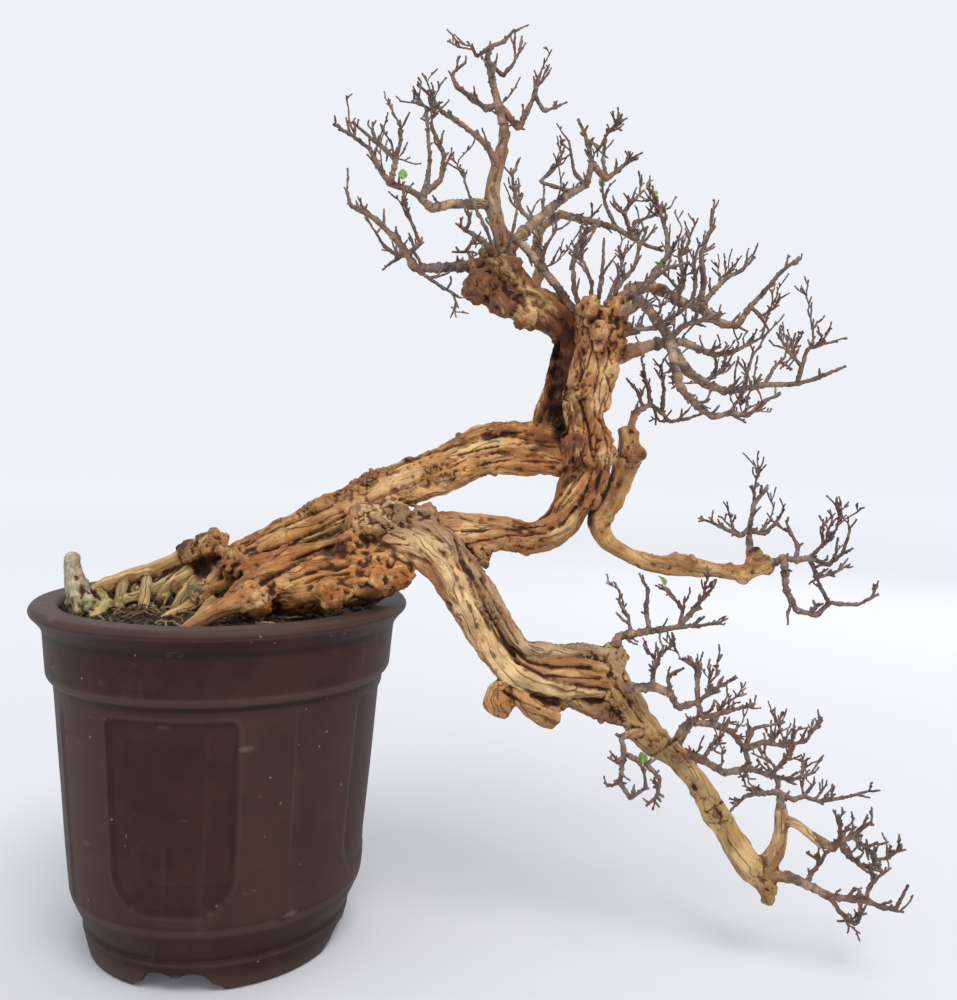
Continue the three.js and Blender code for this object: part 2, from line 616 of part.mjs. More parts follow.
function limb(points, seed) {
  const roll = dice(seed);
  const phase = [roll() * 6.28, roll() * 6.28, roll() * 6.28];
  const centres = points.map(([across, down, away]) => spot(across, down, away));
  const radii = points.map(([, , away, radius]) => radius * reach(away));
  const line = new THREE.CatmullRomCurve3(centres, false, "centripetal");
  const length = line.getLength();
  const slim = Math.max(...radii) < 8;
  const sides = slim ? 5 : flutes.sides;
  const count = Math.max(3, Math.round(length / flutes.step));
  const rings = [];
  let side = null;
  for (let k = 0; k <= count; k++) {
    const t = line.getUtoTmapping(k / count);
    const direction = line.getTangent(t);
    side = side ? carry(side, direction) : anySide(direction);
    const index = Math.min(points.length - 2, Math.floor(t * (points.length - 1)));
    const radius = THREE.MathUtils.lerp(radii[index], radii[index + 1], t * (points.length - 1) - index);
    const along = (k / count) * length;
    const around = Array.from({ length: sides }, (_, i) => {
      const turn = (2 * Math.PI * i) / sides;
      const flute =
        flutes.depth * Math.sin(flutes.lobes * turn + flutes.twist * along * 3 + phase[0]) +
        flutes.fineDepth * Math.sin(flutes.fineLobes * turn - flutes.twist * along * 4 + phase[1]) +
        flutes.fineDepth * Math.sin(along * 0.19 + phase[2] + turn);
      return radius * (1 + (slim ? 0.5 : 1) * flute);
    });
    rings.push(ringAt(line.getPoint(t), direction, side, around));
  }
  return solidOf(skin(rings));
}

// A knobbly burl
function burl([across, down, away, radius], seed) {
  const roll = dice(seed);
  const ball = new THREE.IcosahedronGeometry(radius * reach(away), radius > 16 ? 1 : 0);
  const geometry = mergeVertices(ball.deleteAttribute("uv").deleteAttribute("normal"), 1e-3);
  const place = geometry.attributes.position;
  const centre = spot(across, down, away);
  const corner = new THREE.Vector3();
  for (let i = 0; i < place.count; i++) {
    corner.fromBufferAttribute(place, i).multiplyScalar(0.86 + 0.3 * roll()).add(centre);
    place.setXYZ(i, corner.x, corner.y, corner.z);
  }
  return solidOf(geometry);
}

// A straight, flat-ended stub that a spray grows from
function stubEnds(stub) {
  const root = spot(...stub.root);
  const tip = spot(...stub.tip);
  return { root, tip, direction: tip.clone().sub(root).normalize() };
}

function stubSolid(stub) {
  const { root, tip, direction } = stubEnds(stub);
  const side = anySide(direction);
  const ring = (centre, radius) => ringAt(centre, direction, side, Array(4).fill(radius));
  return solidOf(skin([ring(root, stub.thick[0]), ring(tip, stub.thick[1])]));
}

// Twigs. Every stretch of twig or limb is kept as a segment, so that nothing grown later runs into it.
const taken = [];

function closest(p1, q1, p2, q2) {
  const d1 = q1.clone().sub(p1);
  const d2 = q2.clone().sub(p2);
  const r = p1.clone().sub(p2);
  const a = d1.dot(d1);
  const e = d2.dot(d2);
  const f = d2.dot(r);
  const c = d1.dot(r);
  const b = d1.dot(d2);
  const denominator = a * e - b * b;
  const clamp = (value) => Math.min(1, Math.max(0, value));
  let s = denominator > 1e-9 ? clamp((b * f - c * e) / denominator) : 0;
  let t = (b * s + f) / e;
  if (t < 0 || t > 1) {
    t = clamp(t);
    s = clamp((b * t - c) / a);
  }
  return p1.clone().addScaledVector(d1, s).distanceTo(p2.clone().addScaledVector(d2, t));
}

function take(from, to, radius, owner, joint) {
  if (from.distanceTo(to) > 1e-6) taken.push({ from, to, radius, owner, joint });
}

function isClear(from, to, radius, owner, joint) {
  return taken.every((other) => {
    if (other.owner === owner && other.joint === joint) return true;
    const gap = other.owner === owner ? 0.5 : 1.0;
    return closest(from, to, other.from, other.to) > radius + other.radius + gap;
  });
}

const twigRule = {
  lean: 50,
  leanSpread: 26,
  lift: 0.28,
  bend: 0.32,
  thinnest: 0.55,
  thickest: 1.15,
  tries: 7,
};

// One side twig of two short reaches, which rises a little and turns at its joint
function growTwig(base, parentDirection, length, roll, owner, joint) {
  for (let attempt = 0; attempt < twigRule.tries; attempt++) {
    const turn = roll() * 2 * Math.PI;
    const lean = THREE.MathUtils.degToRad(twigRule.lean + (roll() - 0.5) * twigRule.leanSpread);
    const side = anySide(parentDirection);
    const other = new THREE.Vector3().crossVectors(parentDirection, side);
    let direction = parentDirection
      .clone()
      .multiplyScalar(Math.cos(lean))
      .addScaledVector(side, Math.sin(lean) * Math.cos(turn))
      .addScaledVector(other, Math.sin(lean) * Math.sin(turn));
    direction.z += twigRule.lift;
    direction.normalize();
    const size = length * (0.55 + 0.9 * roll());
    const points = [base.clone()];
    for (let k = 0; k < 2; k++) {
      const bend = new THREE.Vector3(roll() - 0.5, roll() - 0.5, roll() - 0.3);
      direction = direction.clone().addScaledVector(bend, twigRule.bend * 2).normalize();
      points.push(points[k].clone().addScaledVector(direction, size / 2));
    }
    const open = [0, 1].every((k) =>
      isClear(points[k], points[k + 1], twigRule.thickest, owner, k === 0 ? joint : -1),
    );
    if (open) return points;
  }
  return null;
}

// A spray: its stems, then its seeded twigs, each with a list of points and two radii
function growSpray(spray) {
  const roll = dice(spray.seed);
  const { tip, direction } = stubEnds(spray.stub);
  const foot = [seatGap, seatGap + 2].map((gap) => tip.clone().addScaledVector(direction, gap));
  const shoots = [];
  let joint = 0;
  const keep = (points, thick) => {
    const last = points.length - 1;
    points.slice(1).forEach((point, k) => {
      const radius = THREE.MathUtils.lerp(thick[0], thick[1], k / last);
      take(points[k], point, radius, spray.name, k === 0 ? joint : -2 - shoots.length);
    });
    shoots.push({ points, thick });
  };
  for (const stem of spray.stems) {
    const host = stem.on === undefined ? null : shoots[stem.on].points;
    const base = host ? [host[Math.min(host.length - 1, stem.at + (stem.on === 0 ? 2 : 1))]] : foot;
    joint = -1;
    keep([...base, ...stem.path.map((mark) => spot(...mark))], stem.thick);
  }
  const stems = shoots.slice();
  for (let k = 0; k < spray.twigs; k++) {
    const hosts = k < spray.twigs * 0.62 ? stems : shoots;
    const host = hosts[Math.floor(roll() * hosts.length)];
    const first = hosts === stems && host === shoots[0] ? 1 : 0;
    const last = host.points.length - 1;
    const at = first + 0.35 + roll() * (last - first - 0.35);
    const index = Math.min(last - 1, Math.floor(at));
    const from = host.points[index];
    const to = host.points[index + 1];
    const base = from.clone().lerp(to, at - index);
    const heading = to.clone().sub(from).normalize();
    const hostRadius = THREE.MathUtils.lerp(host.thick[0], host.thick[1], at / last);
    const length = spray.length * (hosts === stems ? 1 : 0.7);
    joint = 1000 + k;
    const ahead = base.clone().addScaledVector(heading, 0.1);
    const marked = taken.filter(
      (other) => other.owner === spray.name && closest(base, ahead, other.from, other.to) < 0.6,
    );
    const before = marked.map((other) => other.joint);
    marked.forEach((other) => (other.joint = joint));
    const points = growTwig(base, heading, length, roll, spray.name, joint);
    marked.forEach((other, i) => (other.joint = before[i]));
    if (points) keep(points, [Math.min(twigRule.thickest, hostRadius * 0.8), twigRule.thinnest]);
  }
  return shoots;
}

const shootSwell = 1.05; // a shoot of few sides is a little wider, to hold its round size

function shootSolid({ points, thick }) {
  const sides = thick[0] > 2.7 ? 4 : 3;
  const last = points.length - 1;
  let side = null;
  const rings = points.map((point, k) => {
    const before = point.clone().sub(points[Math.max(0, k - 1)]).normalize();
    const after = points[Math.min(last, k + 1)].clone().sub(point).normalize();
    const direction = k === 0 ? after : k === last ? before : before.add(after).normalize();
    side = side ? carry(side, direction) : anySide(direction);
    const radius = THREE.MathUtils.lerp(thick[0], thick[1], k / last);
    return ringAt(point, direction, side, Array(sides).fill(radius * shootSwell));
  });
  if (sides === 3 && points.length === 3) return solidOf(skin(rings.slice(0, -1), points[last]));
  return solidOf(skin(rings));
}

// The pot: outline rows as [radius, height, how far the panels sink there, how far the corner creases rise]
function potOutline() {
  return [
    [pot.footInside, pot.underside, 0, 0], [pot.footInside + 1.5, 0, 0, 0], [pot.footRadius, 0, 0, 0],
    [86, 25, 0, 0], [88.5, 31.5, 0, 0.6], [92, 40, 0, 1], [93.2, 55, 0, 1], [93.6, 57.5, 1, 1],
    [102.8, 163.5, 1, 1], [103, 166, 0, 1], [103.8, 171.5, 0, 0.6], [109, 175, 0, 0], [112.8, 205, 0, 0],
    [118, 208.2, 0, 0], [pot.lipRadius, 212, 0, 0], [pot.lipRadius, 216, 0, 0], [118, pot.height, 0, 0],
    [104, pot.height, 0, 0], [pot.mouthRadius, 217, 0, 0], [94.5, 172, 0, 0], [84, 50, 0, 0],
    [80, 29, 0, 0], [75, pot.floorTop, 0, 0],
  ];
}

function potSolid() {
  const half = pot.panelHalf;
  const quarter = [-45, -34, -half - 1, -half + 1, -7.5, 7.5, half - 1, half + 1, 34];
  const columns = [0, 90, 180, 270].flatMap((turn) => quarter.map((angle) => ({ angle, turn })));
  const rings = potOutline().map(([radius, height, sink, rise]) =>
    columns.map(({ angle, turn }) => {
      const inPanel = Math.abs(angle) < half ? 1 : 0;
      const nearCorner = Math.max(0, 1 - (45 - Math.abs(angle)) / 10);
      const out = radius - pot.panelDepth * sink * inPanel + pot.creaseRise * rise * nearCorner;
      const theta = THREE.MathUtils.degToRad(angle + turn + pot.turn - 90);
      return new THREE.Vector3(out * Math.cos(theta), out * Math.sin(theta), height);
    }),
  );
  const body = solidOf(skin(rings));
  const drain = new THREE.CylinderGeometry(pot.drainRadius, pot.drainRadius, pot.floorTop, 12);
  drain.rotateX(Math.PI / 2).translate(0, 0, pot.floorTop - 4);
  const cutters = [archCutter(0), archCutter(Math.PI / 2), solidOf(drain)];
  return cutters.reduce((left, cutter) => left.subtract(cutter), body);
}

// The cloud-shaped arch between two feet, run right through under the pot
function archCutter(turn) {
  const { archHalf, archHeight } = pot;
  const shape = new THREE.Shape();
  shape.moveTo(-archHalf, -2);
  shape.lineTo(archHalf, -2);
  shape.lineTo(archHalf, 1);
  shape.quadraticCurveTo(archHalf * 0.93, 5, archHalf * 0.78, 5.2);
  shape.quadraticCurveTo(archHalf * 0.74, 11, archHalf * 0.5, archHeight);
  shape.quadraticCurveTo(archHalf * 0.2, archHeight + 0.4, 0, 10);
  shape.quadraticCurveTo(-archHalf * 0.2, archHeight + 0.4, -archHalf * 0.5, archHeight);
  shape.quadraticCurveTo(-archHalf * 0.74, 11, -archHalf * 0.78, 5.2);
  shape.quadraticCurveTo(-archHalf * 0.93, 5, -archHalf, 1);
  shape.closePath();
  const geometry = new THREE.ExtrudeGeometry(shape, { depth: 300, bevelEnabled: false, curveSegments: 2 });
  const heading = turn + THREE.MathUtils.degToRad(pot.turn);
  geometry.translate(0, 0, -150).rotateX(Math.PI / 2).rotateZ(heading);
  return solidOf(geometry);
}

function latheSolid(outline, sides) {
  const geometry = new THREE.LatheGeometry(outline.map(([r, z]) => new THREE.Vector2(r, z)), sides);
  return solidOf(geometry.rotateX(Math.PI / 2));
}

function plugSolid(grow) {
  const { across, away, topRadius, footRadius, foot } = rootPlug;
  const top = soil.middle + 4;
  const outline = [[0, foot - grow], [footRadius + grow, foot - grow], [topRadius + grow, top], [0, top]];
  return latheSolid(outline, 12).translate([across, away, 0]);
}

function soilSolid() {
  const overNet = pot.floorTop + drainNet.thick + 2 * seatGap;
  const body = latheSolid(
    [
      [0, overNet], [26, overNet], [28, 24.4], [74, 24.4], [79, 30], [83, 50], [93.4, 172],
      [97.8, 203], [94, soil.edge], [58, soil.middle - 1.4], [0, soil.middle],
    ],
    24,
  );
  return body.subtract(plugSolid(seatGap));
}

// Everything below the wood: the soil, and the pot's rim where limbs pass over it
function bedSolid() {
  const rim = pot.height + seatGap;
  const mouth = pot.mouthRadius - seatGap;
  const outline = [
    [0, 120], [pot.lipRadius + 1, 120], [pot.lipRadius + 1, rim], [mouth + 1, rim], [mouth - 2.2, 206],
    [94, soil.edge + seatGap], [58, soil.middle - 1.4 + seatGap], [0, soil.middle + seatGap],
  ];
  return latheSolid(outline, 24).subtract(plugSolid(0));
}

// A square of plastic net over the drain hole
function drainMeshSolid() {
  const { half, bars, barWidth, thick } = drainNet;
  const strips = Array.from({ length: bars }, (_, k) => {
    const place = THREE.MathUtils.lerp(-half, half, k / (bars - 1));
    const along = new THREE.BoxGeometry(2 * half + barWidth, barWidth, thick).translate(0, place, 0);
    const across = new THREE.BoxGeometry(barWidth, 2 * half + barWidth, thick).translate(place, 0, 0);
    return [along, across];
  });
  const rise = pot.floorTop + seatGap + thick / 2;
  return joined(strips.flat().map((strip) => solidOf(strip.translate(0, 0, rise))));
}

// A small toothed leaf on a short stalk, arched along its rib: rings of [along, half width, half thickness]
function leafSolid(base, direction, size) {
  const side = new THREE.Vector3().crossVectors(direction, new THREE.Vector3(0, 0, 1)).normalize();
  const up = new THREE.Vector3().crossVectors(side, direction).normalize();
  const stalk = 2.2;
  const rings = [
    [0, 0.5, 0.5],
    [stalk, 0.5, 0.5],
    [stalk + size * 0.34, size * 0.4, 0.35],
    [stalk + size * 0.46, size * 0.33, 0.35],
    [stalk + size * 0.66, size * 0.32, 0.35],
    [stalk + size, 0.4, 0.35],
  ].map(([along, wide, thick]) => {
    const arch = 1.2 * Math.sin((Math.PI * Math.max(0, along - stalk)) / size);
    const corner = (across, lift) =>
      base
        .clone()
        .addScaledVector(direction, along)
        .addScaledVector(side, across)
        .addScaledVector(up, arch + lift - Math.abs(across) * 0.25);
    const top = [corner(-wide, thick), corner(0, thick), corner(wide, thick)];
    return [...top, corner(wide, -thick), corner(0, -thick), corner(-wide, -thick)];
  });
  return solidOf(skin(rings));
}

// The tree's old wood
const woodPieces = [
  ...Object.values(limbs).map((points, k) => limb(points, k + 3)),
  ...burls.map((mark, k) => burl(mark, k + 101)),
  ...sprays.map((spray) => stubSolid(spray.stub)),
];
const aboveSoil = joined(woodPieces).subtract(bedSolid());
const trunk = largestBody(aboveSoil.add(plugSolid(0)));

for (const points of Object.values(limbs)) {
  points.slice(1).forEach((point, k) => {
    const radius = Math.max(points[k][3] * reach(points[k][2]), point[3] * reach(point[2])) * 1.12;
    take(spot(...points[k].slice(0, 3)), spot(...point.slice(0, 3)), radius + 0.6, "trunk", 0);
  });
}
for (const [across, down, away, radius] of burls) {
  const centre = spot(across, down, away);
  take(centre, centre.clone().add(new THREE.Vector3(0, 0, 0.01)), radius * reach(away) * 1.16, "trunk", 0);
}
for (const spray of sprays) {
  const { root, tip } = stubEnds(spray.stub);
  take(root, tip, spray.stub.thick[0], "trunk", 0);
}

const grown = sprays.map((spray) => ({ name: spray.name, shoots: growSpray(spray) }));
const group = new THREE.Group();
group.add(named("pot", geometryOf(potSolid()), clay));
group.add(named("drain_mesh", geometryOf(drainMeshSolid()), plastic));
group.add(named("soil", geometryOf(soilSolid()), earth));
group.add(named("trunk", geometryOf(trunk), treeWood));
for (const { name, shoots } of grown) {
  const solid = joined(shoots.map(shootSolid));
  group.add(named(name, geometryOf(largestBody(solid)), twigWood));
}

// Each leaf grows from the end of the twig nearest to its mark
for (const [name, mark] of Object.entries(leafMarks)) {
  const target = spot(...mark);
  const ends = grown.flatMap(({ shoots }) => shoots.filter((shoot) => shoot.points.length <= 4));
  ends.sort((a, b) => a.points.at(-1).distanceTo(target) - b.points.at(-1).distanceTo(target));
  const end = ends[0].points;
  const heading = end.at(-1).clone().sub(end.at(-2)).normalize();
  const base = end.at(-1).clone().addScaledVector(heading, seatGap);
  group.add(named(name, geometryOf(leafSolid(base, heading, 7)), leafGreen));
}

const box = new THREE.Box3().setFromObject(group, true);
group.position.set(-(box.min.x + box.max.x) / 2, -(box.min.y + box.max.y) / 2, 0);

export default group;
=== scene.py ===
import bpy
import math
import numpy as np
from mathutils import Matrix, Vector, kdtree


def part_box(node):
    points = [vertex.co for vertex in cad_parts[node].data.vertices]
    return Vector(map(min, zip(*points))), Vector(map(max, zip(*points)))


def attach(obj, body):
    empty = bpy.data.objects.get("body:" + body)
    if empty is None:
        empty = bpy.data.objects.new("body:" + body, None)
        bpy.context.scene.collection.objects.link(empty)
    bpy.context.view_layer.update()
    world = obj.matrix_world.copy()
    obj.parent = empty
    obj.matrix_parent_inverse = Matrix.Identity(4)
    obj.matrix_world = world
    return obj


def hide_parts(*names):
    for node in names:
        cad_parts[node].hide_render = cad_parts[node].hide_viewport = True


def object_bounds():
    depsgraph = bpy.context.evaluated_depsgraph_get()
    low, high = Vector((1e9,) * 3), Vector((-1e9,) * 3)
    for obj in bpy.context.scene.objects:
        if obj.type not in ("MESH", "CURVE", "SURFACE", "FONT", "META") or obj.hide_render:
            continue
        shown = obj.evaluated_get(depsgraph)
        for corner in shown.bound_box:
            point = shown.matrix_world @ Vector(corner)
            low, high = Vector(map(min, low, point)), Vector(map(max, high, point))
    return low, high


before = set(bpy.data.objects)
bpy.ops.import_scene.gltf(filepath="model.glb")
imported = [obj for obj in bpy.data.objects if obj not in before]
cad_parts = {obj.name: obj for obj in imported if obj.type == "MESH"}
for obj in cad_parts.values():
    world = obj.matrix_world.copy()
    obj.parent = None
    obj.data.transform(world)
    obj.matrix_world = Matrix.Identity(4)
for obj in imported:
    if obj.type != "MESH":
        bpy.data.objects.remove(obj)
cadLow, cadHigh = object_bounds()
potLow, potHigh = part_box("pot")
axisX = (potLow.x + potHigh.x) / 2      # the pot's axis, with Y 0
scene = bpy.context.scene
print("frame loaded, pot axis at", round(axisX, 4))

# The tree is laid out as the camera sees it: across and down on a picture 957 wide and 1000 high, then the
# depth in mm. The eye's place is in mm from the middle of the pot's base.
eye = {"across": 165.5, "away": -663.0, "up": 328.5, "roll": math.radians(1.2), "middle": 478.5,
       "horizon": 436.0, "focal": 1000.0, "high": 1000, "sensor": 36}
rollCos, rollSin = math.cos(eye["roll"]), math.sin(eye["roll"])


def reach(away):      # how many mm one step on the picture covers at a depth
    return (away - eye["away"]) / eye["focal"]


def spot(across, down, away):
    dx, dy = across - eye["middle"], down - eye["horizon"]
    right, below = dx * rollCos + dy * rollSin, dy * rollCos - dx * rollSin
    return np.array([eye["across"] + right * reach(away), away, eye["up"] - below * reach(away)])


def onPicture(co):      # the other way: where points in mm show on the picture
    near = reach(co[:, 1])
    right, below = (co[:, 0] - eye["across"]) / near, (eye["up"] - co[:, 2]) / near
    dx, dy = right * rollCos - below * rollSin, right * rollSin + below * rollCos
    return np.c_[dx + eye["middle"], dy + eye["horizon"]]


def addCamera():
    place = (axisX + eye["across"] / 1000, eye["away"] / 1000, eye["up"] / 1000)
    bpy.ops.object.camera_add(location=place, rotation=(math.pi / 2, -eye["roll"], 0))
    camera = bpy.context.object
    camera.name = "studio_camera"
    camera.data.sensor_width = eye["sensor"]
    camera.data.lens = eye["sensor"] * eye["focal"] / eye["high"]
    camera.data.shift_y = (eye["horizon"] - eye["high"] / 2) / eye["high"]
    camera.data.clip_start, camera.data.clip_end = 0.01, 60
    scene.camera = camera


addCamera()


# Seeded chance, smooth noise and lines

def dice(seed):
    state = [seed * 7919 + 1]

    def roll():
        state[0] = (state[0] * 1664525 + 1013904223) % 4294967296
        return state[0] / 4294967296
    return roll


def lattice(i, j, k, seed):
    n = (i * 374761393 + j * 668265263 + k * 1440662683 + seed * 974711) & 0xFFFFFFFF
    n = ((n ^ (n >> 13)) * 1274126177) & 0xFFFFFFFF
    return ((n ^ (n >> 16)) & 0xFFFF) / 32767.5 - 1


def noiseAt(p, seed):      # one smooth value from -1 to 1 for each point
    cell = np.floor(p).astype(np.int64)
    f = p - cell
    f = f * f * f * (f * (f * 6 - 15) + 10)
    sides = (1 - f, f)
    total = np.zeros(len(p))
    for dx, dy, dz in np.ndindex(2, 2, 2):
        share = sides[dx][:, 0] * sides[dy][:, 1] * sides[dz][:, 2]
        total += share * lattice(cell[:, 0] + dx, cell[:, 1] + dy, cell[:, 2] + dz, seed)
    return total


def layered(p, seed, layers):      # coarse noise and finer noise over it, each half as strong
    sizes = [0.5 ** k for k in range(layers)]
    return sum(size * noiseAt(p * 2 ** k + k * 17.3, seed + k) for k, size in enumerate(sizes)) / sum(sizes)


def ease(value, low, high):      # 0 below low, 1 above high, smooth between
    t = np.clip((value - low) / (high - low), 0, 1)
    return t * t * (3 - 2 * t)


def unit(v):
    return v / np.linalg.norm(v)


def carry(side, direction):
    return unit(side - direction * side.dot(direction))


def anySide(direction):
    across = np.array([0.0, 1.0, 0.0]) if abs(direction[1]) < 0.8 else np.array([1.0, 0.0, 0.0])
    return carry(across, direction)


def smoothLine(marks, widths, step):      # a curve through the marks, as points a step apart
    p = np.vstack([2 * marks[0] - marks[1], marks, 2 * marks[-1] - marks[-2]])
    fine, wide = [], []
    for i in range(len(marks) - 1):
        p0, p1, p2, p3 = p[i:i + 4]
        t1 = np.linalg.norm(p1 - p0) ** 0.5
        t2 = t1 + np.linalg.norm(p2 - p1) ** 0.5
        t3 = t2 + np.linalg.norm(p3 - p2) ** 0.5
        count = max(4, int(np.linalg.norm(p2 - p1) / 0.8))
        t = np.linspace(t1, t2, count, endpoint=i == len(marks) - 2)[:, None]
        a1 = (t1 - t) / t1 * p0 + t / t1 * p1
        a2 = (t2 - t) / (t2 - t1) * p1 + (t - t1) / (t2 - t1) * p2
        a3 = (t3 - t) / (t3 - t2) * p2 + (t - t2) / (t3 - t2) * p3
        b1 = (t2 - t) / t2 * a1 + t / t2 * a2
        b2 = (t3 - t) / (t3 - t1) * a2 + (t - t1) / (t3 - t1) * a3
        fine.append((t2 - t) / (t2 - t1) * b1 + (t - t1) / (t2 - t1) * b2)
        share = ((t - t1) / (t2 - t1)).ravel()
        wide.append(widths[i] + (widths[i + 1] - widths[i]) * share)
    fine, wide = np.vstack(fine), np.concatenate(wide)
    run = np.r_[0, np.cumsum(np.linalg.norm(np.diff(fine, axis=0), axis=1))]
    along = np.linspace(0, run[-1], max(3, int(round(run[-1] / step)) + 1))
    points = np.c_[tuple(np.interp(along, run, fine[:, k]) for k in range(3))]
    return points, np.interp(along, run, wide), along


def framesAlong(points):
    tangent = np.gradient(points, axis=0)
    tangent /= np.linalg.norm(tangent, axis=1)[:, None]
    side = [anySide(tangent[0])]
    for direction in tangent[1:]:
        side.append(carry(side[-1], direction))
    side = np.array(side)
    return tangent, side, np.cross(tangent, side)


# Blender steps that every piece uses. Points are worked out in mm from the pot's axis.

def toScene(mm):
    return np.asarray(mm) / 1000 + [axisX, 0, 0]


def fromScene(co):
    return (co - [axisX, 0, 0]) * 1000


def deselectAll():
    bpy.ops.object.select_all(action="DESELECT")


def pick(*pieces):
    deselectAll()
    for piece in pieces:
        piece.select_set(True)
    bpy.context.view_layer.objects.active = pieces[0]


def threes(rows, key):      # one row of three numbers for each of a mesh's points
    values = np.empty(len(rows) * 3, np.float32)
    rows.foreach_get(key, values)
    return values.reshape(-1, 3).astype(float)


def places(piece):
    return threes(piece.data.vertices, "co")


def normals(piece):
    return threes(piece.data.vertex_normals, "vector")


def move(piece, co):
    piece.data.vertices.foreach_set("co", np.asarray(co, np.float32).ravel())
    piece.data.update()


def store(piece, name, kind, values):
    made = piece.data.attributes.new(name, kind, "POINT")
    slot = {"FLOAT_VECTOR": "vector", "FLOAT_COLOR": "color"}[kind]
    made.data.foreach_set(slot, np.asarray(values, np.float32).ravel())


def linear(v):      # a screen value from 0 to 1 as light
    return np.where(v <= 0.04045, v / 12.92, ((v + 0.055) / 1.055) ** 2.4)


def storeTone(piece, tone):      # screen values from 0 to 255, one colour for each point
    light = linear(np.clip(tone, 0, 255) / 255)
    store(piece, "tone", "FLOAT_COLOR", np.c_[light, np.ones(len(light))])


def blend(tone, other, share):
    return tone * (1 - share) + np.array(other) * share


def varied(tone, amount, noise):      # one colour made lighter and darker from point to point
    return np.array(tone) * (1 + amount * noise)[:, None]


def finishWith(piece, kind, **settings):      # adds a modifier and applies it
    pick(piece)
    made = piece.modifiers.new(kind.lower(), kind)
    for key, value in settings.items():
        setattr(made, key, value)
    bpy.ops.object.modifier_apply(modifier=made.name)


def ownMesh(name, points, faces):
    mesh = bpy.data.meshes.new(name)
    mesh.from_pydata([tuple(p) for p in points], [], faces)
    piece = bpy.data.objects.new(name, mesh)
    scene.collection.objects.link(piece)
    return piece


def newTubes(name, sides):      # a curve object whose splines' radii are in mm
    curve = bpy.data.curves.new(name, "CURVE")
    curve.dimensions = "3D"
    curve.bevel_depth = 0.001
    curve.bevel_resolution = (sides - 4) // 2
    curve.use_fill_caps = True
    piece = bpy.data.objects.new(name, curve)
    scene.collection.objects.link(piece)
    return piece


def addTube(tubes, points, radii):
    line = tubes.data.splines.new("POLY")
    line.points.add(len(points) - 1)
    line.points.foreach_set("co", np.c_[toScene(points), np.ones(len(points))].ravel())
    line.points.foreach_set("radius", np.asarray(radii, float))


def tubesToMesh(tubes):
    pick(tubes)
    bpy.ops.object.convert(target="MESH")
    return bpy.context.object


def scattered(name, template, points, sizes, seed, squash):      # one mesh of turned, scaled copies
    shape = places(template)
    faces = np.array([f.vertices[:] for f in template.data.polygons])
    chance = np.random.default_rng(seed)
    co, polys = [], []
    for k, (point, size) in enumerate(zip(points, sizes)):
        turn, _ = np.linalg.qr(chance.normal(size=(3, 3)))
        stretch = 1 + squash * chance.uniform(-1, 1, 3)
        lumpy = shape * (1 + 0.18 * chance.uniform(-1, 1, (len(shape), 1)))
        if np.linalg.det(turn) < 0:
            turn[:, 0] *= -1
        co.append((lumpy * stretch * size) @ turn.T + point)
        polys.append(faces + k * len(shape))
    return ownMesh(name, toScene(np.vstack(co)), [tuple(f) for f in np.vstack(polys).tolist()])


def curvature(piece, rounds):      # mm that each point stands proud of a smoothed copy
    co, facing = places(piece), normals(piece)
    edges = np.empty(len(piece.data.edges) * 2, np.int32)
    piece.data.edges.foreach_get("vertices", edges)
    a, b = edges.reshape(-1, 2).T
    count = np.bincount(np.r_[a, b], minlength=len(co))[:, None] + 1e-9
    soft = co.copy()
    for _ in range(rounds):
        total = np.c_[tuple(np.bincount(np.r_[a, b], np.r_[soft[b, k], soft[a, k]], len(co)) for k in range(3))]
        soft = 0.4 * soft + 0.6 * total / count
    return ((co - soft) * facing).sum(axis=1) * 1000


def nearestOf(points, others):      # for each point, which of the others is nearest
    tree = kdtree.KDTree(len(others))
    for k, other in enumerate(others):
        tree.insert(other, k)
    tree.balance()
    return np.array([tree.find(point)[1] for point in points])


def dress(piece, nodes, finish):
    piece.data.materials.clear()
    piece.data.materials.append(finish)
    piece.data.shade_smooth()
    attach(piece, "root")
    if nodes:
        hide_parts(*nodes)
    print(piece.name, "made,", len(piece.data.polygons), "faces")


# Shader maths: a Wire is one output socket that adds and multiplies like a number

class Wire:
    def __init__(self, look, socket):
        self.look, self.socket = look, socket

    def math(self, operation, *others):
        return self.look.math(operation, self, *others)

    def __add__(self, other):
        return self.math("ADD", other)

    def __sub__(self, other):
        return self.math("SUBTRACT", other)

    def __rsub__(self, other):
        return self.look.math("SUBTRACT", other, self)

    def __mul__(self, other):
        return self.math("MULTIPLY", other)

    __radd__, __rmul__ = __add__, __mul__

    def span(self, low, high):      # 0 at low, 1 at high, eased between
        return self.look.node("ShaderNodeMapRange", {"interpolation_type": "SMOOTHSTEP"},
                              {0: self, 1: low, 2: high})


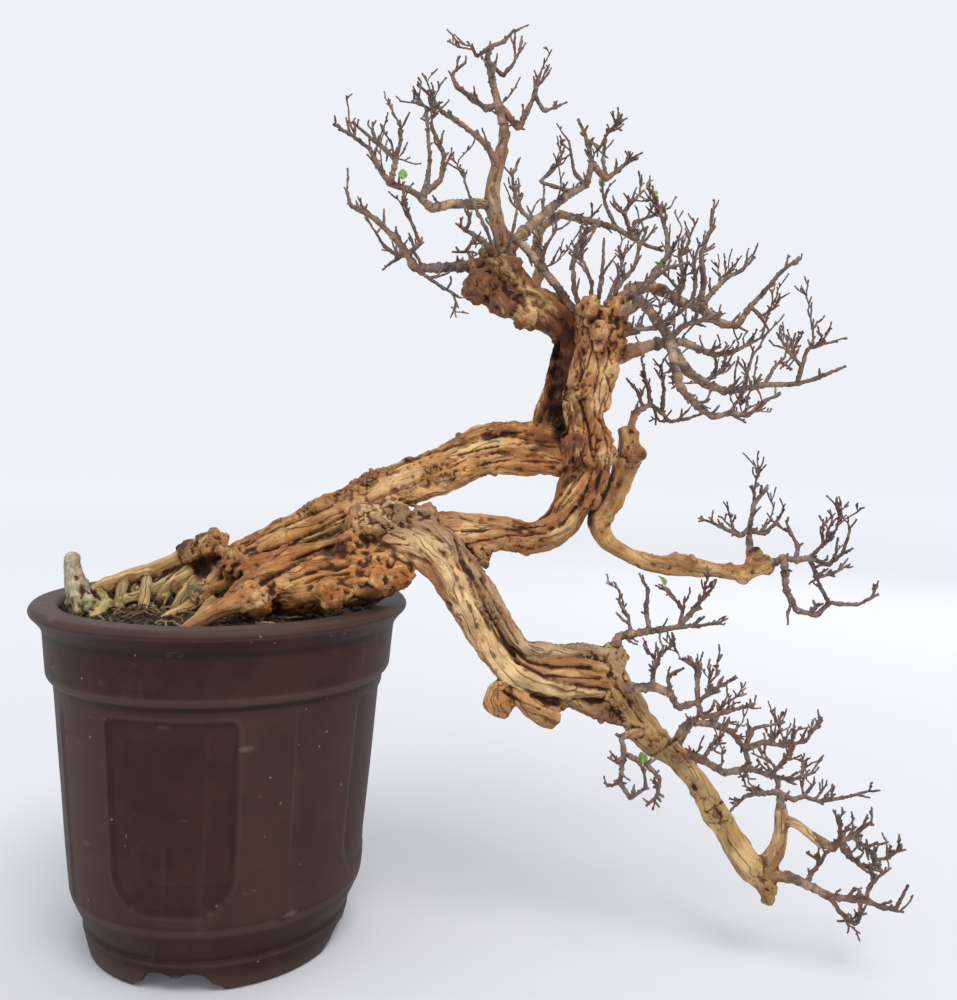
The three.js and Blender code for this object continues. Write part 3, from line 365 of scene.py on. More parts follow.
class Look:      # one material, built node by node
    def __init__(self, name, **shader):
        self.material = bpy.data.materials.new(name)
        self.material.use_nodes = True
        self.tree = self.material.node_tree
        self.shader = self.tree.nodes["Principled BSDF"]
        for key, value in shader.items():
            self.shader.inputs[key.replace("_", " ")].default_value = value

    def node(self, kind, settings, values, out=0):
        made = self.tree.nodes.new(kind)
        for key, value in settings.items():
            setattr(made, key, value)
        for key, value in values.items():
            if isinstance(value, Wire):
                self.tree.links.new(value.socket, made.inputs[key])
            else:
                made.inputs[key].default_value = value
        return Wire(self, made.outputs[out])

    def math(self, operation, *values):
        return self.node("ShaderNodeMath", {"operation": operation}, dict(enumerate(values)))

    def vector(self, operation, first, second, out=0):
        return self.node("ShaderNodeVectorMath", {"operation": operation}, {0: first, 1: second}, out)

    def pattern(self, kind, settings, where, scale, values):      # three scales stretch it
        if isinstance(scale, tuple):
            where, scale = self.vector("MULTIPLY", where, scale), 1.0
        return self.node(kind, settings, {"Vector": where, "Scale": scale, **values})

    def noise(self, where, scale, detail, rough, warp=0.0):
        return self.pattern("ShaderNodeTexNoise", {}, where, scale,
                            {"Detail": detail, "Roughness": rough, "Distortion": warp})

    def grains(self, where, scale, feature="F1"):
        return self.pattern("ShaderNodeTexVoronoi", {"feature": feature}, where, scale, {"Randomness": 1.0})

    def mix(self, first, second, share):      # colours
        return self.node("ShaderNodeMix", {"data_type": "RGBA", "blend_type": "MIX", "clamp_factor": True},
                         {0: share, 6: first, 7: second}, out=2)

    def coats(self, colour, *coats):      # colours laid one over another, each with its share
        for tone, share in coats:
            colour = self.mix(colour, tone if isinstance(tone, Wire) else paint(*tone), share)
        return colour

    def attribute(self, name, out):
        return self.node("ShaderNodeAttribute", {"attribute_type": "GEOMETRY", "attribute_name": name}, {}, out)

    def apart(self, vector):
        made = self.node("ShaderNodeSeparateXYZ", {}, {0: vector})
        return [Wire(self, socket) for socket in made.socket.node.outputs]

    def place(self):
        return self.node("ShaderNodeTexCoord", {}, {}, out=3)

    def finish(self, colour, rough, height, strength, distance):
        bump = self.node("ShaderNodeBump", {}, {"Strength": strength, "Distance": distance, "Height": height})
        return self.feed(Base_Color=colour, Roughness=rough, Normal=bump)

    def feed(self, **sockets):
        for key, wire in sockets.items():
            self.tree.links.new(wire.socket, self.shader.inputs[key.replace("_", " ")])
        return self.material


def paint(red, green, blue):      # screen values from 0 to 255
    return (*linear(np.array([red, green, blue]) / 255).tolist(), 1.0)


def oldWoodLook():
    look = Look("weathered_trunk_wood", Roughness=0.7, IOR=1.45, Specular_IOR_Level=0.4)
    # The first channel is painted shade, and painted highlight where it is negative.
    shadeAndHighlight, bark, knobs = look.apart(look.attribute("shadingAndMarks", 1))
    where = look.place()
    wander = look.node("ShaderNodeTexNoise", {}, {"Vector": where, "Scale": 55.0, "Detail": 2.0}, out=1)
    wander = look.vector("MULTIPLY", look.vector("SUBTRACT", wander, (0.5, 0.5, 0.5)), (0.0, 9.0, 9.0))
    grain = look.vector("ADD", look.attribute("grain", 1), wander)      # the fibres wander a little
    slabs = look.noise(grain, (0.022, 0.11, 0.11), 3.0, 0.55, 0.4)
    fibres = look.noise(grain, (0.05, 0.55, 0.55), 5.0, 0.62, 0.3)
    hair = look.noise(grain, (0.14, 2.2, 2.2), 3.0, 0.6, 0.2)
    split = look.noise(grain, (0.026, 0.26, 0.26), 3.0, 0.55, 0.6)
    course = look.noise(grain, (0.010, 0.115, 0.115), 2.0, 0.45, 0.5)
    mottle = look.noise(where, 75.0, 5.0, 0.62)
    stain = look.noise(where, 24.0, 3.0, 0.5)
    speck = look.noise(where, 420.0, 3.0, 0.6)
    lumps = look.noise(where, 230.0, 4.0, 0.62)
    coarse = (knobs + bark).math("MINIMUM", 1.0)
    pit = look.grains(where, 260.0).span(0.20, 0.08) * mottle.span(0.46, 0.58) * coarse
    line = (1 - (split - 0.5).math("ABSOLUTE").span(0.0, 0.020)) * (1 - knobs * 0.9) * stain.span(0.44, 0.56)
    seam = (1 - (course - 0.5).math("ABSOLUTE").span(0.0, 0.024)) * (1 - knobs) * stain.span(0.68, 0.50)
    cracks = (line * 0.4).math("MAXIMUM", pit * 0.5).math("MAXIMUM", seam * 0.74)
    flake = look.grains(grain, (0.18, 0.36, 0.36), "DISTANCE_TO_EDGE").span(0.0, 0.16)
    scaly = look.mix(paint(84, 54, 36), paint(168, 126, 88), flake * mottle.span(0.35, 0.65))
    plain = 1 - bark
    colour = look.coats(
        look.attribute("tone", 0),
        ((180, 112, 54), stain.span(0.46, 0.70) * 0.36),
        ((240, 204, 142), slabs.span(0.51, 0.66) * 0.56 * plain),
        ((132, 80, 40), slabs.span(0.48, 0.34) * 0.52),
        ((226, 192, 138), mottle.span(0.54, 0.70) * 0.28 * plain),
        ((106, 62, 32), fibres.span(0.48, 0.30) * 0.42),
        ((244, 214, 162), fibres.span(0.56, 0.74) * 0.36 * plain),
        ((92, 54, 28), hair.span(0.45, 0.30) * 0.18),
        (scaly, bark * 0.58),
        ((112, 68, 38), knobs * speck.span(0.56, 0.44) * 0.42),
        ((74, 42, 24), cracks),
        # Painted shade: darker browns where the wood is hollow or marked as shadow.
        ((108, 56, 25), shadeAndHighlight.span(0.08, 0.50) * 0.74),
        ((44, 22, 13), shadeAndHighlight.span(0.42, 0.95) * 0.90),
        # Painted highlight: pale cream on convex places.
        ((255, 230, 174), (0 - shadeAndHighlight).span(0.06, 0.7) * 0.66 * (1 - bark * 0.5)),
    )
    height = (fibres * 0.85 + hair * 0.28 - line * 0.35 - seam * 0.9 - pit * 0.5 + lumps * 0.85
              + speck * 0.5 * (knobs + bark) + flake * bark * 0.9)
    rough = 0.58 + shadeAndHighlight.span(0.0, 1.0) * 0.2 + mottle * 0.2
    return look.finish(colour, rough, height, 0.8, 0.0013)


def twigLook():
    look = Look("twig_bark", Roughness=0.72, IOR=1.42, Specular_IOR_Level=0.4)
    grain, where = look.attribute("grain", 1), look.place()
    streak = look.noise(grain, (0.35, 1.6, 1.6), 3.0, 0.6)
    rings = look.noise(grain, (0.8, 0.2, 0.2), 2.0, 0.6)
    speck = look.noise(where, 700.0, 2.0, 0.6)
    patch = look.noise(where, 110.0, 2.0, 0.5)
    colour = look.coats(
        look.attribute("tone", 0),
        ((40, 28, 25), streak.span(0.52, 0.32) * 0.62),
        ((44, 30, 26), rings.span(0.46, 0.32) * 0.5),
        ((216, 188, 158), speck.span(0.56, 0.74) * 0.34),
        ((142, 90, 66), patch.span(0.52, 0.66) * 0.28),
        ((180, 158, 134), patch.span(0.46, 0.34) * 0.28),
    )
    return look.finish(colour, 0.6 + speck * 0.25, streak * 0.6 + speck * 0.5 + rings * 0.5, 0.6, 0.0005)


def clayLook():
    look = Look("unglazed_brown_clay", Roughness=0.5, IOR=1.46, Specular_IOR_Level=0.22)
    where = look.place()
    edge, grooveShadow, postLight = look.apart(look.attribute("shadingAndMarks", 1))
    cloudy = look.noise(where, 14.0, 4.0, 0.6)
    patches = look.noise(look.vector("ADD", where, (3.1, 1.7, 0.4)), 38.0, 4.0, 0.65)
    grit = look.noise(where, 900.0, 2.0, 0.5)
    throwing = look.noise(where, (5.0, 5.0, 130.0), 3.0, 0.55)
    smear = look.noise(where, (26.0, 26.0, 70.0), 4.0, 0.7, 0.8)
    drip = look.noise(where, (60.0, 60.0, 7.0), 3.0, 0.6, 0.4)
    dots = look.grains(where, 110.0).span(0.10, 0.05) * look.noise(where, 34.0, 2.0, 0.5).span(0.48, 0.58)
    scuff = look.grains(where, (24.0, 24.0, 60.0)).span(0.16, 0.05) * smear.span(0.42, 0.6)
    colour = look.coats(
        look.mix(paint(41, 21, 18), paint(58, 34, 29), cloudy.span(0.34, 0.68)),
        ((64, 36, 28), patches.span(0.52, 0.70) * 0.45),
        ((88, 70, 64), smear.span(0.58, 0.80) * 0.28),
        ((84, 66, 60), drip.span(0.60, 0.76) * 0.22),
        # Painted light: the posts between the sunken panels are lighter.
        ((82, 62, 56), postLight * 0.22),
        # Painted highlight, partly rubbed wear, on convex edges, beside the panels and along the crease ridges;
        # painted shade in concave places.
        ((106, 88, 80), edge.span(0.18, 1.0) * 0.24),
        ((24, 14, 14), (0 - edge).span(0.10, 0.9) * 0.75),
        # Painted shadow just inside each panel's edge.
        ((24, 13, 12), grooveShadow * 0.36),
        ((126, 112, 104), scuff * 0.32),
        ((158, 146, 136), dots * 0.5),
    )
    rough = 0.46 + cloudy * 0.16 + smear.span(0.55, 0.8) * 0.16
    return look.finish(colour, rough, throwing * 0.5 + patches * 0.35 + grit * 0.10 + drip * 0.2, 0.35, 0.0010)


def earthLook():
    look = Look("dark_potting_soil", Roughness=0.92, IOR=1.35)
    where = look.place()
    crumbs = look.noise(where, 260.0, 5.0, 0.65)
    damp = look.noise(where, 30.0, 3.0, 0.5)
    fleck = look.noise(where, 620.0, 2.0, 0.5)
    colour = look.coats(
        look.attribute("tone", 0),
        ((22, 16, 13), crumbs.span(0.56, 0.36) * 0.7),
        ((40, 30, 22), damp.span(0.45, 0.62) * 0.4),
        ((142, 120, 92), fleck.span(0.68, 0.78) * 0.5),
    )
    return look.finish(colour, 0.82 + damp * 0.16, crumbs + fleck * 0.4, 0.8, 0.0012)


def leafLook():
    look = Look("young_leaf_green", Roughness=0.42, IOR=1.4)
    across, along, _ = look.apart(look.attribute("grain", 1))
    side = across.math("ABSOLUTE")
    rib = side.span(0.07, 0.02)
    veins = ((along - side * 0.75) * 34.0).math("SINE").span(0.90, 0.99) * side.span(0.02, 0.10)
    mottle = look.noise(look.place(), 900.0, 3.0, 0.6)
    colour = look.coats(
        look.mix(paint(92, 124, 50), paint(146, 174, 88), mottle.span(0.35, 0.65)),
        ((186, 204, 128), (rib * 0.8).math("MAXIMUM", veins * 0.5)),
        ((126, 96, 52), side.span(0.86, 1.0) * 0.3),
    )
    return look.finish(colour, 0.38 + mottle * 0.2, mottle * 0.3 - rib - veins * 0.6, 0.5, 0.0003)


def netLook():
    look = Look("black_plastic_net", Roughness=0.45, IOR=1.46)
    where = look.place()
    weave = look.noise(where, (900.0, 900.0, 200.0), 2.0, 0.5)
    dusty = look.noise(where, 120.0, 3.0, 0.5)
    colour = look.mix(paint(26, 26, 27), paint(74, 66, 58), dusty.span(0.52, 0.75) * 0.5)
    return look.finish(colour, 0.4 + dusty * 0.3, weave, 0.3, 0.0003)


def pebbleLook():
    look = Look("soil_grains", Roughness=0.85, IOR=1.4)
    pores = look.noise(look.place(), 900.0, 3.0, 0.6)
    colour = look.coats(look.attribute("tone", 0), ((24, 17, 14), pores.span(0.56, 0.38) * 0.65))
    return look.finish(colour, 0.76 + pores * 0.2, pores, 0.7, 0.0005)


# The old wood. Each limb is a bundle of strands that twist round its line. First its look: strands, twist in
# radians a mm, tone, how much bark. Then its line on the picture: across, down, away, radius there.

limbs = {
    "upperTrunk": ((6, 0.007, (190, 138, 82), 0.12), [(203, 604, 6, 24), (226, 578, 6, 29), (262, 553, 6, 28),
        (300, 532, 6, 25), (350, 508, 5, 21.5), (400, 487, 4, 25), (440, 471, 3, 27.5), (488, 450, 4, 24),
        (530, 451, 6, 26.5), (570, 452, 6, 25), (592, 440, 4, 22)]),
    "lowerRoots": ((6, 0.006, (178, 116, 58), 0.16), [(232, 612, -24, 20), (275, 594, -30, 30),
        (320, 584, -32, 33), (362, 572, -26, 34), (402, 562, -18, 30)]),
    "middleTrunk": ((6, 0.009, (174, 122, 74), 0.22), [(362, 552, -10, 28), (410, 536, -6, 23),
        (450, 533, 0, 20), (494, 531, 0, 20), (535, 537, 0, 18), (562, 522, 0, 22), (578, 492, -2, 26),
        (589, 468, -4, 25), (588, 440, -6, 23), (585, 405, -8, 23), (590, 375, -8, 22), (600, 345, -6, 26),
        (602, 318, -4, 27)]),
    # The hollow trunk's dark tone is partly its own colour and partly painted shade for the recess it sits in.
    "hollowTrunk": ((5, 0.004, (118, 70, 42), 0.3), [(545, 446, 16, 21), (556, 410, 20, 18),
        (565, 375, 20, 17), (570, 347, 18, 20), (560, 323, 12, 22), (530, 306, 4, 22), (503, 291, 0, 25),
        (490, 277, 0, 22)]),
    "apexStem": ((4, 0.01, (150, 122, 98), 0.35), [(498, 272, 0, 19), (504, 250, 4, 12), (497, 222, 6, 9),
        (492, 195, 6, 8.5), (496, 170, 6, 7.5), (502, 150, 5, 6.5)]),
    "sideStrand": ((4, 0.012, (184, 138, 88), 0.2), [(624, 427, 10, 9), (629, 449, 8, 14), (622, 474, 6, 13),
        (611, 500, 4, 14), (600, 521, 4, 12.5), (606, 539, 2, 9.5), (627, 553, 0, 8), (652, 563, -2, 8.5),
        (681, 564, -4, 11.5), (712, 569, -6, 7.5), (741, 573, -6, 9.5), (764, 564, -6, 11)]),
    "cascadeFront": ((5, 0.007, (204, 170, 122), 0.1), [(380, 546, -14, 26), (420, 551, -26, 20),
        (445, 573, -32, 15.5), (462, 602, -34, 15), (478, 632, -34, 14), (497, 660, -33, 13.5),
        (520, 678, -31, 13), (550, 687, -28, 12), (585, 689, -26, 11.5), (618, 687, -22, 12.5)]),
    "cascadeBack": ((6, 0.008, (168, 142, 106), 0.34), [(396, 531, -10, 24), (432, 541, -16, 19),
        (462, 566, -20, 16), (484, 598, -20, 15), (503, 630, -20, 14), (524, 652, -20, 14),
        (560, 656, -20, 13), (598, 658, -20, 16), (620, 671, -20, 20)]),
    "cascadeTail": ((5, 0.006, (170, 140, 92), 0.24), [(606, 676, -20, 20), (626, 704, -22, 19),
        (648, 735, -24, 17.5), (674, 755, -26, 14), (693, 776, -28, 12.5), (708, 798, -30, 12.5),
        (721, 821, -32, 13.5), (734, 845, -34, 13.5), (750, 868, -36, 14.5), (764, 885, -38, 11.5),
        (769, 898, -38, 7)]),
    "cascadeFork": ((4, 0.01, (170, 140, 104), 0.24), [(757, 878, -37, 10), (776, 852, -38, 9),
        (781, 832, -38, 8), (781, 812, -38, 7)]),
    "forkArm": ((3, 0.012, (150, 118, 92), 0.3), [(781, 820, -38, 5.5), (795, 823, -41, 4.8),
        (808, 833, -44, 4.6), (823, 844, -46, 5.5)]),
    "brokenSnagLeft": ((5, 0.01, (178, 128, 80), 0.2), [(512, 684, -31, 9), (497, 690, -34, 9),
        (496, 702, -35, 14), (509, 713, -34, 8)]),
    "brokenSnagRight": ((6, 0.01, (186, 138, 88), 0.2), [(512, 685, -30, 10), (530, 705, -32, 12),
        (546, 715, -32, 13), (557, 719, -32, 12.5)]),
    "underBark": ((4, 0.008, (150, 112, 76), 0.4), [(560, 694, -26, 10), (582, 704, -27, 11),
        (604, 713, -26, 11), (622, 720, -24, 9)]),
    "surfaceRoot": ((4, 0.006, (176, 138, 86), 0.12), [(206, 566, 10, 16), (182, 562, 8, 11), (152, 572, 2, 9),
        (122, 580, -6, 8.5), (100, 589, -14, 9), (86, 604, -20, 10)]),
    "paleStump": ((4, 0.006, (184, 188, 164), 0.1), [(84, 622, -24, 13), (80, 594, -24, 12.5),
        (74, 574, -22, 9.5), (72, 559, -22, 8)]),
    "frontRoot": ((4, 0.008, (184, 132, 80), 0.1), [(262, 597, -44, 16), (236, 604, -60, 11),
        (208, 616, -70, 9), (182, 634, -76, 7)]),
    "fingerOne": ((3, 0.006, (190, 170, 118), 0.08), [(124, 578, -6, 6), (120, 598, -14, 5.5),
        (116, 630, -20, 6.5)]),
    "fingerTwo": ((3, 0.006, (194, 172, 122), 0.08), [(148, 572, 2, 6), (145, 598, -12, 5.5),
        (138, 632, -22, 6)]),
    "fingerThree": ((3, 0.006, (170, 144, 94), 0.12), [(192, 570, 4, 10), (165, 592, -10, 7),
        (148, 630, -24, 6)]),
    "thinRootEnd": ((3, 0.006, (140, 112, 72), 0.15), [(198, 580, -6, 9), (181, 602, -22, 7),
        (170, 632, -34, 6)]),
    "heartwood": ((5, 0.006, (160, 104, 58), 0.12), [(250, 580, -12, 24), (318, 556, -12, 19),
        (374, 536, -8, 20)]),
    "cascadeCore": ((4, 0.006, (176, 128, 84), 0.1), [(498, 652, -24, 9), (530, 667, -20, 12),
        (570, 671, -20, 13), (608, 676, -18, 14)]),
}

# Small roots and ridges that only the looks carry
extraLimbs = {
    "lyingRoot": ((3, 0.006, (188, 164, 110), 0.1), [(120, 600, -15, 5.5), (142, 594, -9, 5.5),
        (162, 585, -2, 6.5), (186, 571, 6, 8)]),
    "lowRootOne": ((3, 0.006, (182, 158, 102), 0.1), [(188, 583, -2, 7.5), (169, 592, -10, 5.8),
        (158, 606, -18, 5.4), (150, 621, -24, 5)]),
    "lowRootTwo": ((3, 0.006, (166, 158, 100), 0.1), [(98, 590, -16, 6.5), (104, 603, -24, 6),
        (95, 618, -36, 5.5)]),
    "lowRootThree": ((3, 0.006, (150, 118, 72), 0.12), [(198, 600, -24, 8.5), (183, 609, -36, 5.8),
        (166, 617, -46, 5.2), (152, 627, -54, 4.6)]),
    "lowRootFour": ((3, 0.006, (182, 166, 112), 0.08), [(133, 578, 0, 5.5), (136, 600, -6, 5),
        (128, 620, -16, 4.6)]),
    "lowRootFive": ((3, 0.006, (158, 122, 74), 0.12), [(216, 602, -32, 9), (201, 615, -48, 6.4),
        (190, 628, -60, 5.2)]),
    "lowRootSix": ((3, 0.006, (182, 166, 112), 0.1), [(112, 588, -10, 5.5), (103, 604, -10, 5),
        (110, 618, -22, 4.8)]),
    "lowRootSeven": ((3, 0.006, (146, 124, 76), 0.12), [(176, 578, 6, 6.5), (178, 596, -2, 5.4),
        (170, 612, -14, 5)]),
    "coreRidge": ((4, 0.005, (158, 112, 70), 0.15), [(512, 660, -26, 9), (536, 669, -27, 11),
        (570, 673, -28, 11.5), (604, 678, -26, 12)]),
    "coreSlat": ((3, 0.005, (140, 98, 60), 0.15), [(520, 656, -24, 7), (548, 663, -27, 7.5),
        (580, 664, -28, 8), (606, 668, -26, 9)]),
    # snagRoot fills a gap under the snags; its dark brown tone is partly painted shade.
    "snagRoot": ((3, 0.006, (124, 82, 48), 0.2), [(528, 689, -26, 7), (546, 698, -26, 8.5),
        (566, 702, -27, 9)]),
}

stubLook = (1, 0.0, (138, 112, 94), 0.5)
lineStep = 3.5      # mm between the points of a middle line

# Burls and knuckles
burls = [
    (212, 546, -4, 17), (190, 551, 2, 12), (232, 562, -14, 15), (366, 524, -16, 22), (394, 520, -14, 17),
    (426, 518, -8, 14), (350, 548, -30, 15), (254, 602, -48, 20), (333, 596, -54, 14), (373, 574, -42, 15),
    (398, 576, -34, 15), (202, 594, -26, 13), (480, 554, -6, 12), (573, 392, -26, 11), (574, 440, -24, 12),
    (606, 455, -18, 11), (592, 500, -20, 12), (478, 288, -10, 15), (490, 262, 0, 14), (512, 270, -12, 13),
    (502, 304, -14, 13), (524, 318, -10, 12), (590, 310, -18, 13), (613, 311, -14, 14), (602, 336, -22, 13),
    (621, 352, -8, 10), (634, 453, 0, 9), (742, 577, -8, 8), (756, 556, -8, 8), (614, 654, -18, 12),
    (623, 690, -14, 12), (712, 808, -34, 8),
]
# Burls low on the left, far from every twig
footBurls = [
    (89, 603, -28, 10), (73, 604, -24, 9), (80, 586, -24, 9), (96, 615, -30, 8), (72, 568, -22, 7),
    (108, 604, -22, 6), (130, 610, -26, 5), (160, 600, -24, 6), (176, 588, -16, 7),
]

# Clusters of small knots on the surface, all on the picture: across, down, spread, how many, size of each
knots = [
    (590, 300, 12, 9, 6), (612, 302, 12, 9, 6), (600, 318, 14, 12, 6), (588, 326, 10, 8, 5),
    (614, 330, 12, 10, 6), (600, 342, 14, 10, 5), (622, 348, 9, 7, 5), (583, 345, 8, 6, 4),
    (476, 274, 12, 10, 6), (486, 294, 13, 10, 6), (502, 310, 12, 9, 6), (494, 262, 14, 10, 5),
    (512, 256, 10, 7, 5), (508, 284, 12, 8, 5), (522, 322, 10, 7, 5), (545, 300, 10, 5, 4),
    (572, 392, 7, 3, 6), (611, 366, 8, 3, 7), (582, 456, 9, 8, 4), (606, 456, 9, 6, 5), (634, 436, 9, 8, 4),
    (638, 452, 9, 7, 5), (628, 462, 8, 4, 4), (604, 520, 8, 6, 4), (610, 536, 7, 5, 4), (676, 558, 9, 7, 4),
    (696, 556, 9, 8, 4), (712, 562, 8, 6, 4), (740, 572, 8, 4, 5), (754, 556, 8, 7, 4), (366, 520, 17, 16, 5),
    (388, 514, 15, 14, 5), (424, 515, 11, 9, 4), (352, 544, 12, 9, 4), (258, 600, 17, 15, 5),
    (336, 594, 12, 10, 5), (374, 578, 13, 10, 5), (398, 584, 12, 9, 5), (384, 600, 11, 7, 4),
    (310, 604, 10, 5, 4), (212, 544, 13, 9, 5), (190, 548, 11, 8, 5), (228, 562, 11, 8, 5),
    (206, 592, 10, 8, 4), (245, 576, 11, 7, 4), (436, 474, 9, 9, 3.5), (450, 479, 8, 8, 3.5),
    (478, 462, 8, 6, 3.5), (489, 471, 7, 5, 3.5), (482, 556, 11, 9, 4), (492, 566, 7, 5, 4),
    (502, 540, 12, 9, 3.5), (528, 545, 11, 7, 3.5), (368, 480, 12, 8, 3.5), (345, 489, 10, 7, 3.5),
    (318, 501, 12, 7, 3), (408, 456, 12, 8, 3.5), (428, 446, 10, 7, 3.5), (505, 426, 12, 6, 3),
    (616, 656, 9, 7, 4), (622, 676, 9, 7, 4), (612, 700, 9, 6, 4), (652, 742, 9, 6, 4), (690, 788, 8, 5, 4),
    (714, 810, 9, 7, 4), (724, 818, 8, 5, 4), (768, 888, 8, 6, 4), (520, 612, 9, 6, 3), (508, 588, 9, 6, 3),
    (600, 714, 11, 7, 3.5), (84, 600, 13, 12, 5), (74, 580, 8, 6, 4), (72, 562, 6, 4, 4), (98, 612, 9, 7, 4),
]

# Raised ribs on the surface, drawn on the picture: radius there, then the places
ribs = [
    (9.0, [(338, 509), (362, 499), (390, 487), (418, 475), (440, 466)]),
    (9.5, [(420, 487), (440, 483), (458, 475), (470, 470)]),
    (8.5, [(284, 546), (306, 537), (328, 530), (346, 524)]), (9.5, [(292, 594), (316, 591), (342, 586)]),
    (8.5, [(604, 352), (611, 366), (608, 386), (602, 408)]),
    (8.0, [(600, 428), (605, 446), (605, 468), (599, 486)]), (6.0, [(571, 384), (573, 398), (576, 414)]),
    (7.0, [(456, 572), (470, 600), (484, 632), (504, 660)]), (6.5, [(524, 676), (548, 684), (580, 688)]),
    (7.5, [(640, 722), (656, 740), (674, 756)]), (7.0, [(730, 838), (744, 858), (756, 876)]),
    (6.0, [(620, 554), (646, 560), (668, 564)]),
    (2.2, [(545, 708), (553, 708), (559, 714), (558, 722), (551, 725), (544, 721)]),
    (2.4, [(518, 700), (530, 706), (542, 712)]), (2.4, [(486, 694), (484, 704), (490, 712), (500, 714)]),
    (3.2, [(545, 304), (556, 312), (568, 318), (577, 328), (583, 342), (588, 352)]),
    (2.8, [(566, 307), (576, 302), (590, 299), (606, 298), (620, 303)]),
    (2.6, [(572, 312), (580, 322), (586, 334), (594, 346), (602, 356)]),
    (2.6, [(598, 318), (600, 310), (608, 305), (617, 308), (621, 318), (616, 328), (606, 330)]),
    (2.4, [(590, 306), (594, 316), (592, 328), (598, 338)]),
    (2.4, [(584, 352), (592, 346), (602, 344), (612, 348), (620, 346)]),
    (2.2, [(580, 360), (588, 356), (598, 356), (606, 360)]),
    (2.4, [(624, 308), (623, 318), (617, 330), (610, 340), (600, 344)]),
    (2.2, [(604, 322), (612, 334), (619, 342), (622, 352)]),
    (3.4, [(569, 386), (570, 400), (571, 416), (572, 436), (571, 456), (564, 476), (557, 494), (553, 510)]),
    (5.0, [(586, 378), (589, 398), (592, 416), (599, 436), (603, 452), (603, 468), (598, 486)]),
    (3.0, [(604, 372), (603, 392), (598, 410)]),
    (2.6, [(578, 376), (579, 396), (582, 418), (586, 440), (590, 460)]),
    (2.8, [(592, 488), (582, 506), (568, 522), (550, 534), (528, 543)]),
    (2.2, [(600, 500), (590, 516), (576, 530)]),
    (2.6, [(472, 290), (475, 278), (484, 270), (497, 270), (507, 279), (507, 292), (498, 303), (486, 307)]),
    (2.2, [(480, 296), (484, 286), (494, 282), (500, 289), (494, 297)]),
    (2.8, [(506, 266), (516, 278), (524, 292), (528, 306), (534, 316)]),
    (2.4, [(474, 267), (484, 259), (498, 257), (509, 260)]),
    (2.4, [(500, 316), (514, 323), (530, 322), (544, 314)]),
    (2.2, [(488, 310), (500, 308), (512, 311), (521, 317)]),
    (2.4, [(510, 256), (518, 266), (530, 278), (539, 289)]),
    (2.6, [(479, 266), (486, 276), (482, 290), (490, 302)]),
    (4.6, [(372, 546), (371, 560), (369, 576), (368, 592)]), (3.6, [(384, 556), (383, 572), (386, 588)]),
    (3.0, [(356, 560), (352, 574), (356, 590)]), (3.4, [(396, 552), (406, 560), (416, 568)]),
    (2.8, [(280, 576), (300, 566), (322, 560), (344, 562)]), (2.6, [(278, 592), (300, 586), (324, 582)]),
    (3.2, [(240, 560), (262, 548), (286, 538), (310, 528)]), (2.8, [(232, 574), (252, 562), (270, 556)]),
    (2.6, [(286, 610), (300, 600), (318, 604)]), (3.4, [(300, 512), (330, 496), (356, 486)]),
    (3.0, [(436, 450), (462, 438), (490, 430), (520, 428)]),
    (3.0, [(470, 458), (500, 448), (530, 446), (556, 452)]),
    (3.6, [(388, 486), (410, 476), (432, 462), (452, 452)]), (3.4, [(350, 512), (376, 500), (398, 494)]),
    (2.6, [(536, 466), (552, 470), (568, 462)]),
    (3.2, [(430, 540), (452, 556), (468, 580), (480, 606), (494, 632), (510, 654)]),
    (2.4, [(476, 562), (494, 590), (508, 616), (522, 640)]),
    (2.6, [(524, 648), (552, 647), (582, 648), (604, 652)]),
    (2.4, [(540, 664), (566, 662), (590, 664), (610, 672)]), (2.6, [(540, 692), (574, 694), (604, 692)]),
    (2.6, [(612, 690), (628, 708), (640, 726)]), (2.4, [(640, 716), (654, 734), (668, 748)]),
    (2.2, [(636, 744), (648, 738), (660, 736)]), (2.2, [(652, 752), (664, 746), (676, 746)]),
    (2.2, [(716, 812), (724, 808), (730, 814)]), (2.4, [(728, 826), (738, 848), (752, 868)]),
    (2.4, [(618, 456), (626, 446), (634, 438)]), (2.4, [(612, 488), (618, 476), (628, 464)]),
    (2.2, [(600, 520), (608, 514), (616, 500)]), (2.2, [(672, 556), (686, 553), (700, 556), (712, 562)]),
    (2.2, [(500, 250), (496, 232), (492, 210), (489, 188)]), (2.0, [(506, 246), (502, 224), (499, 204)]),
]

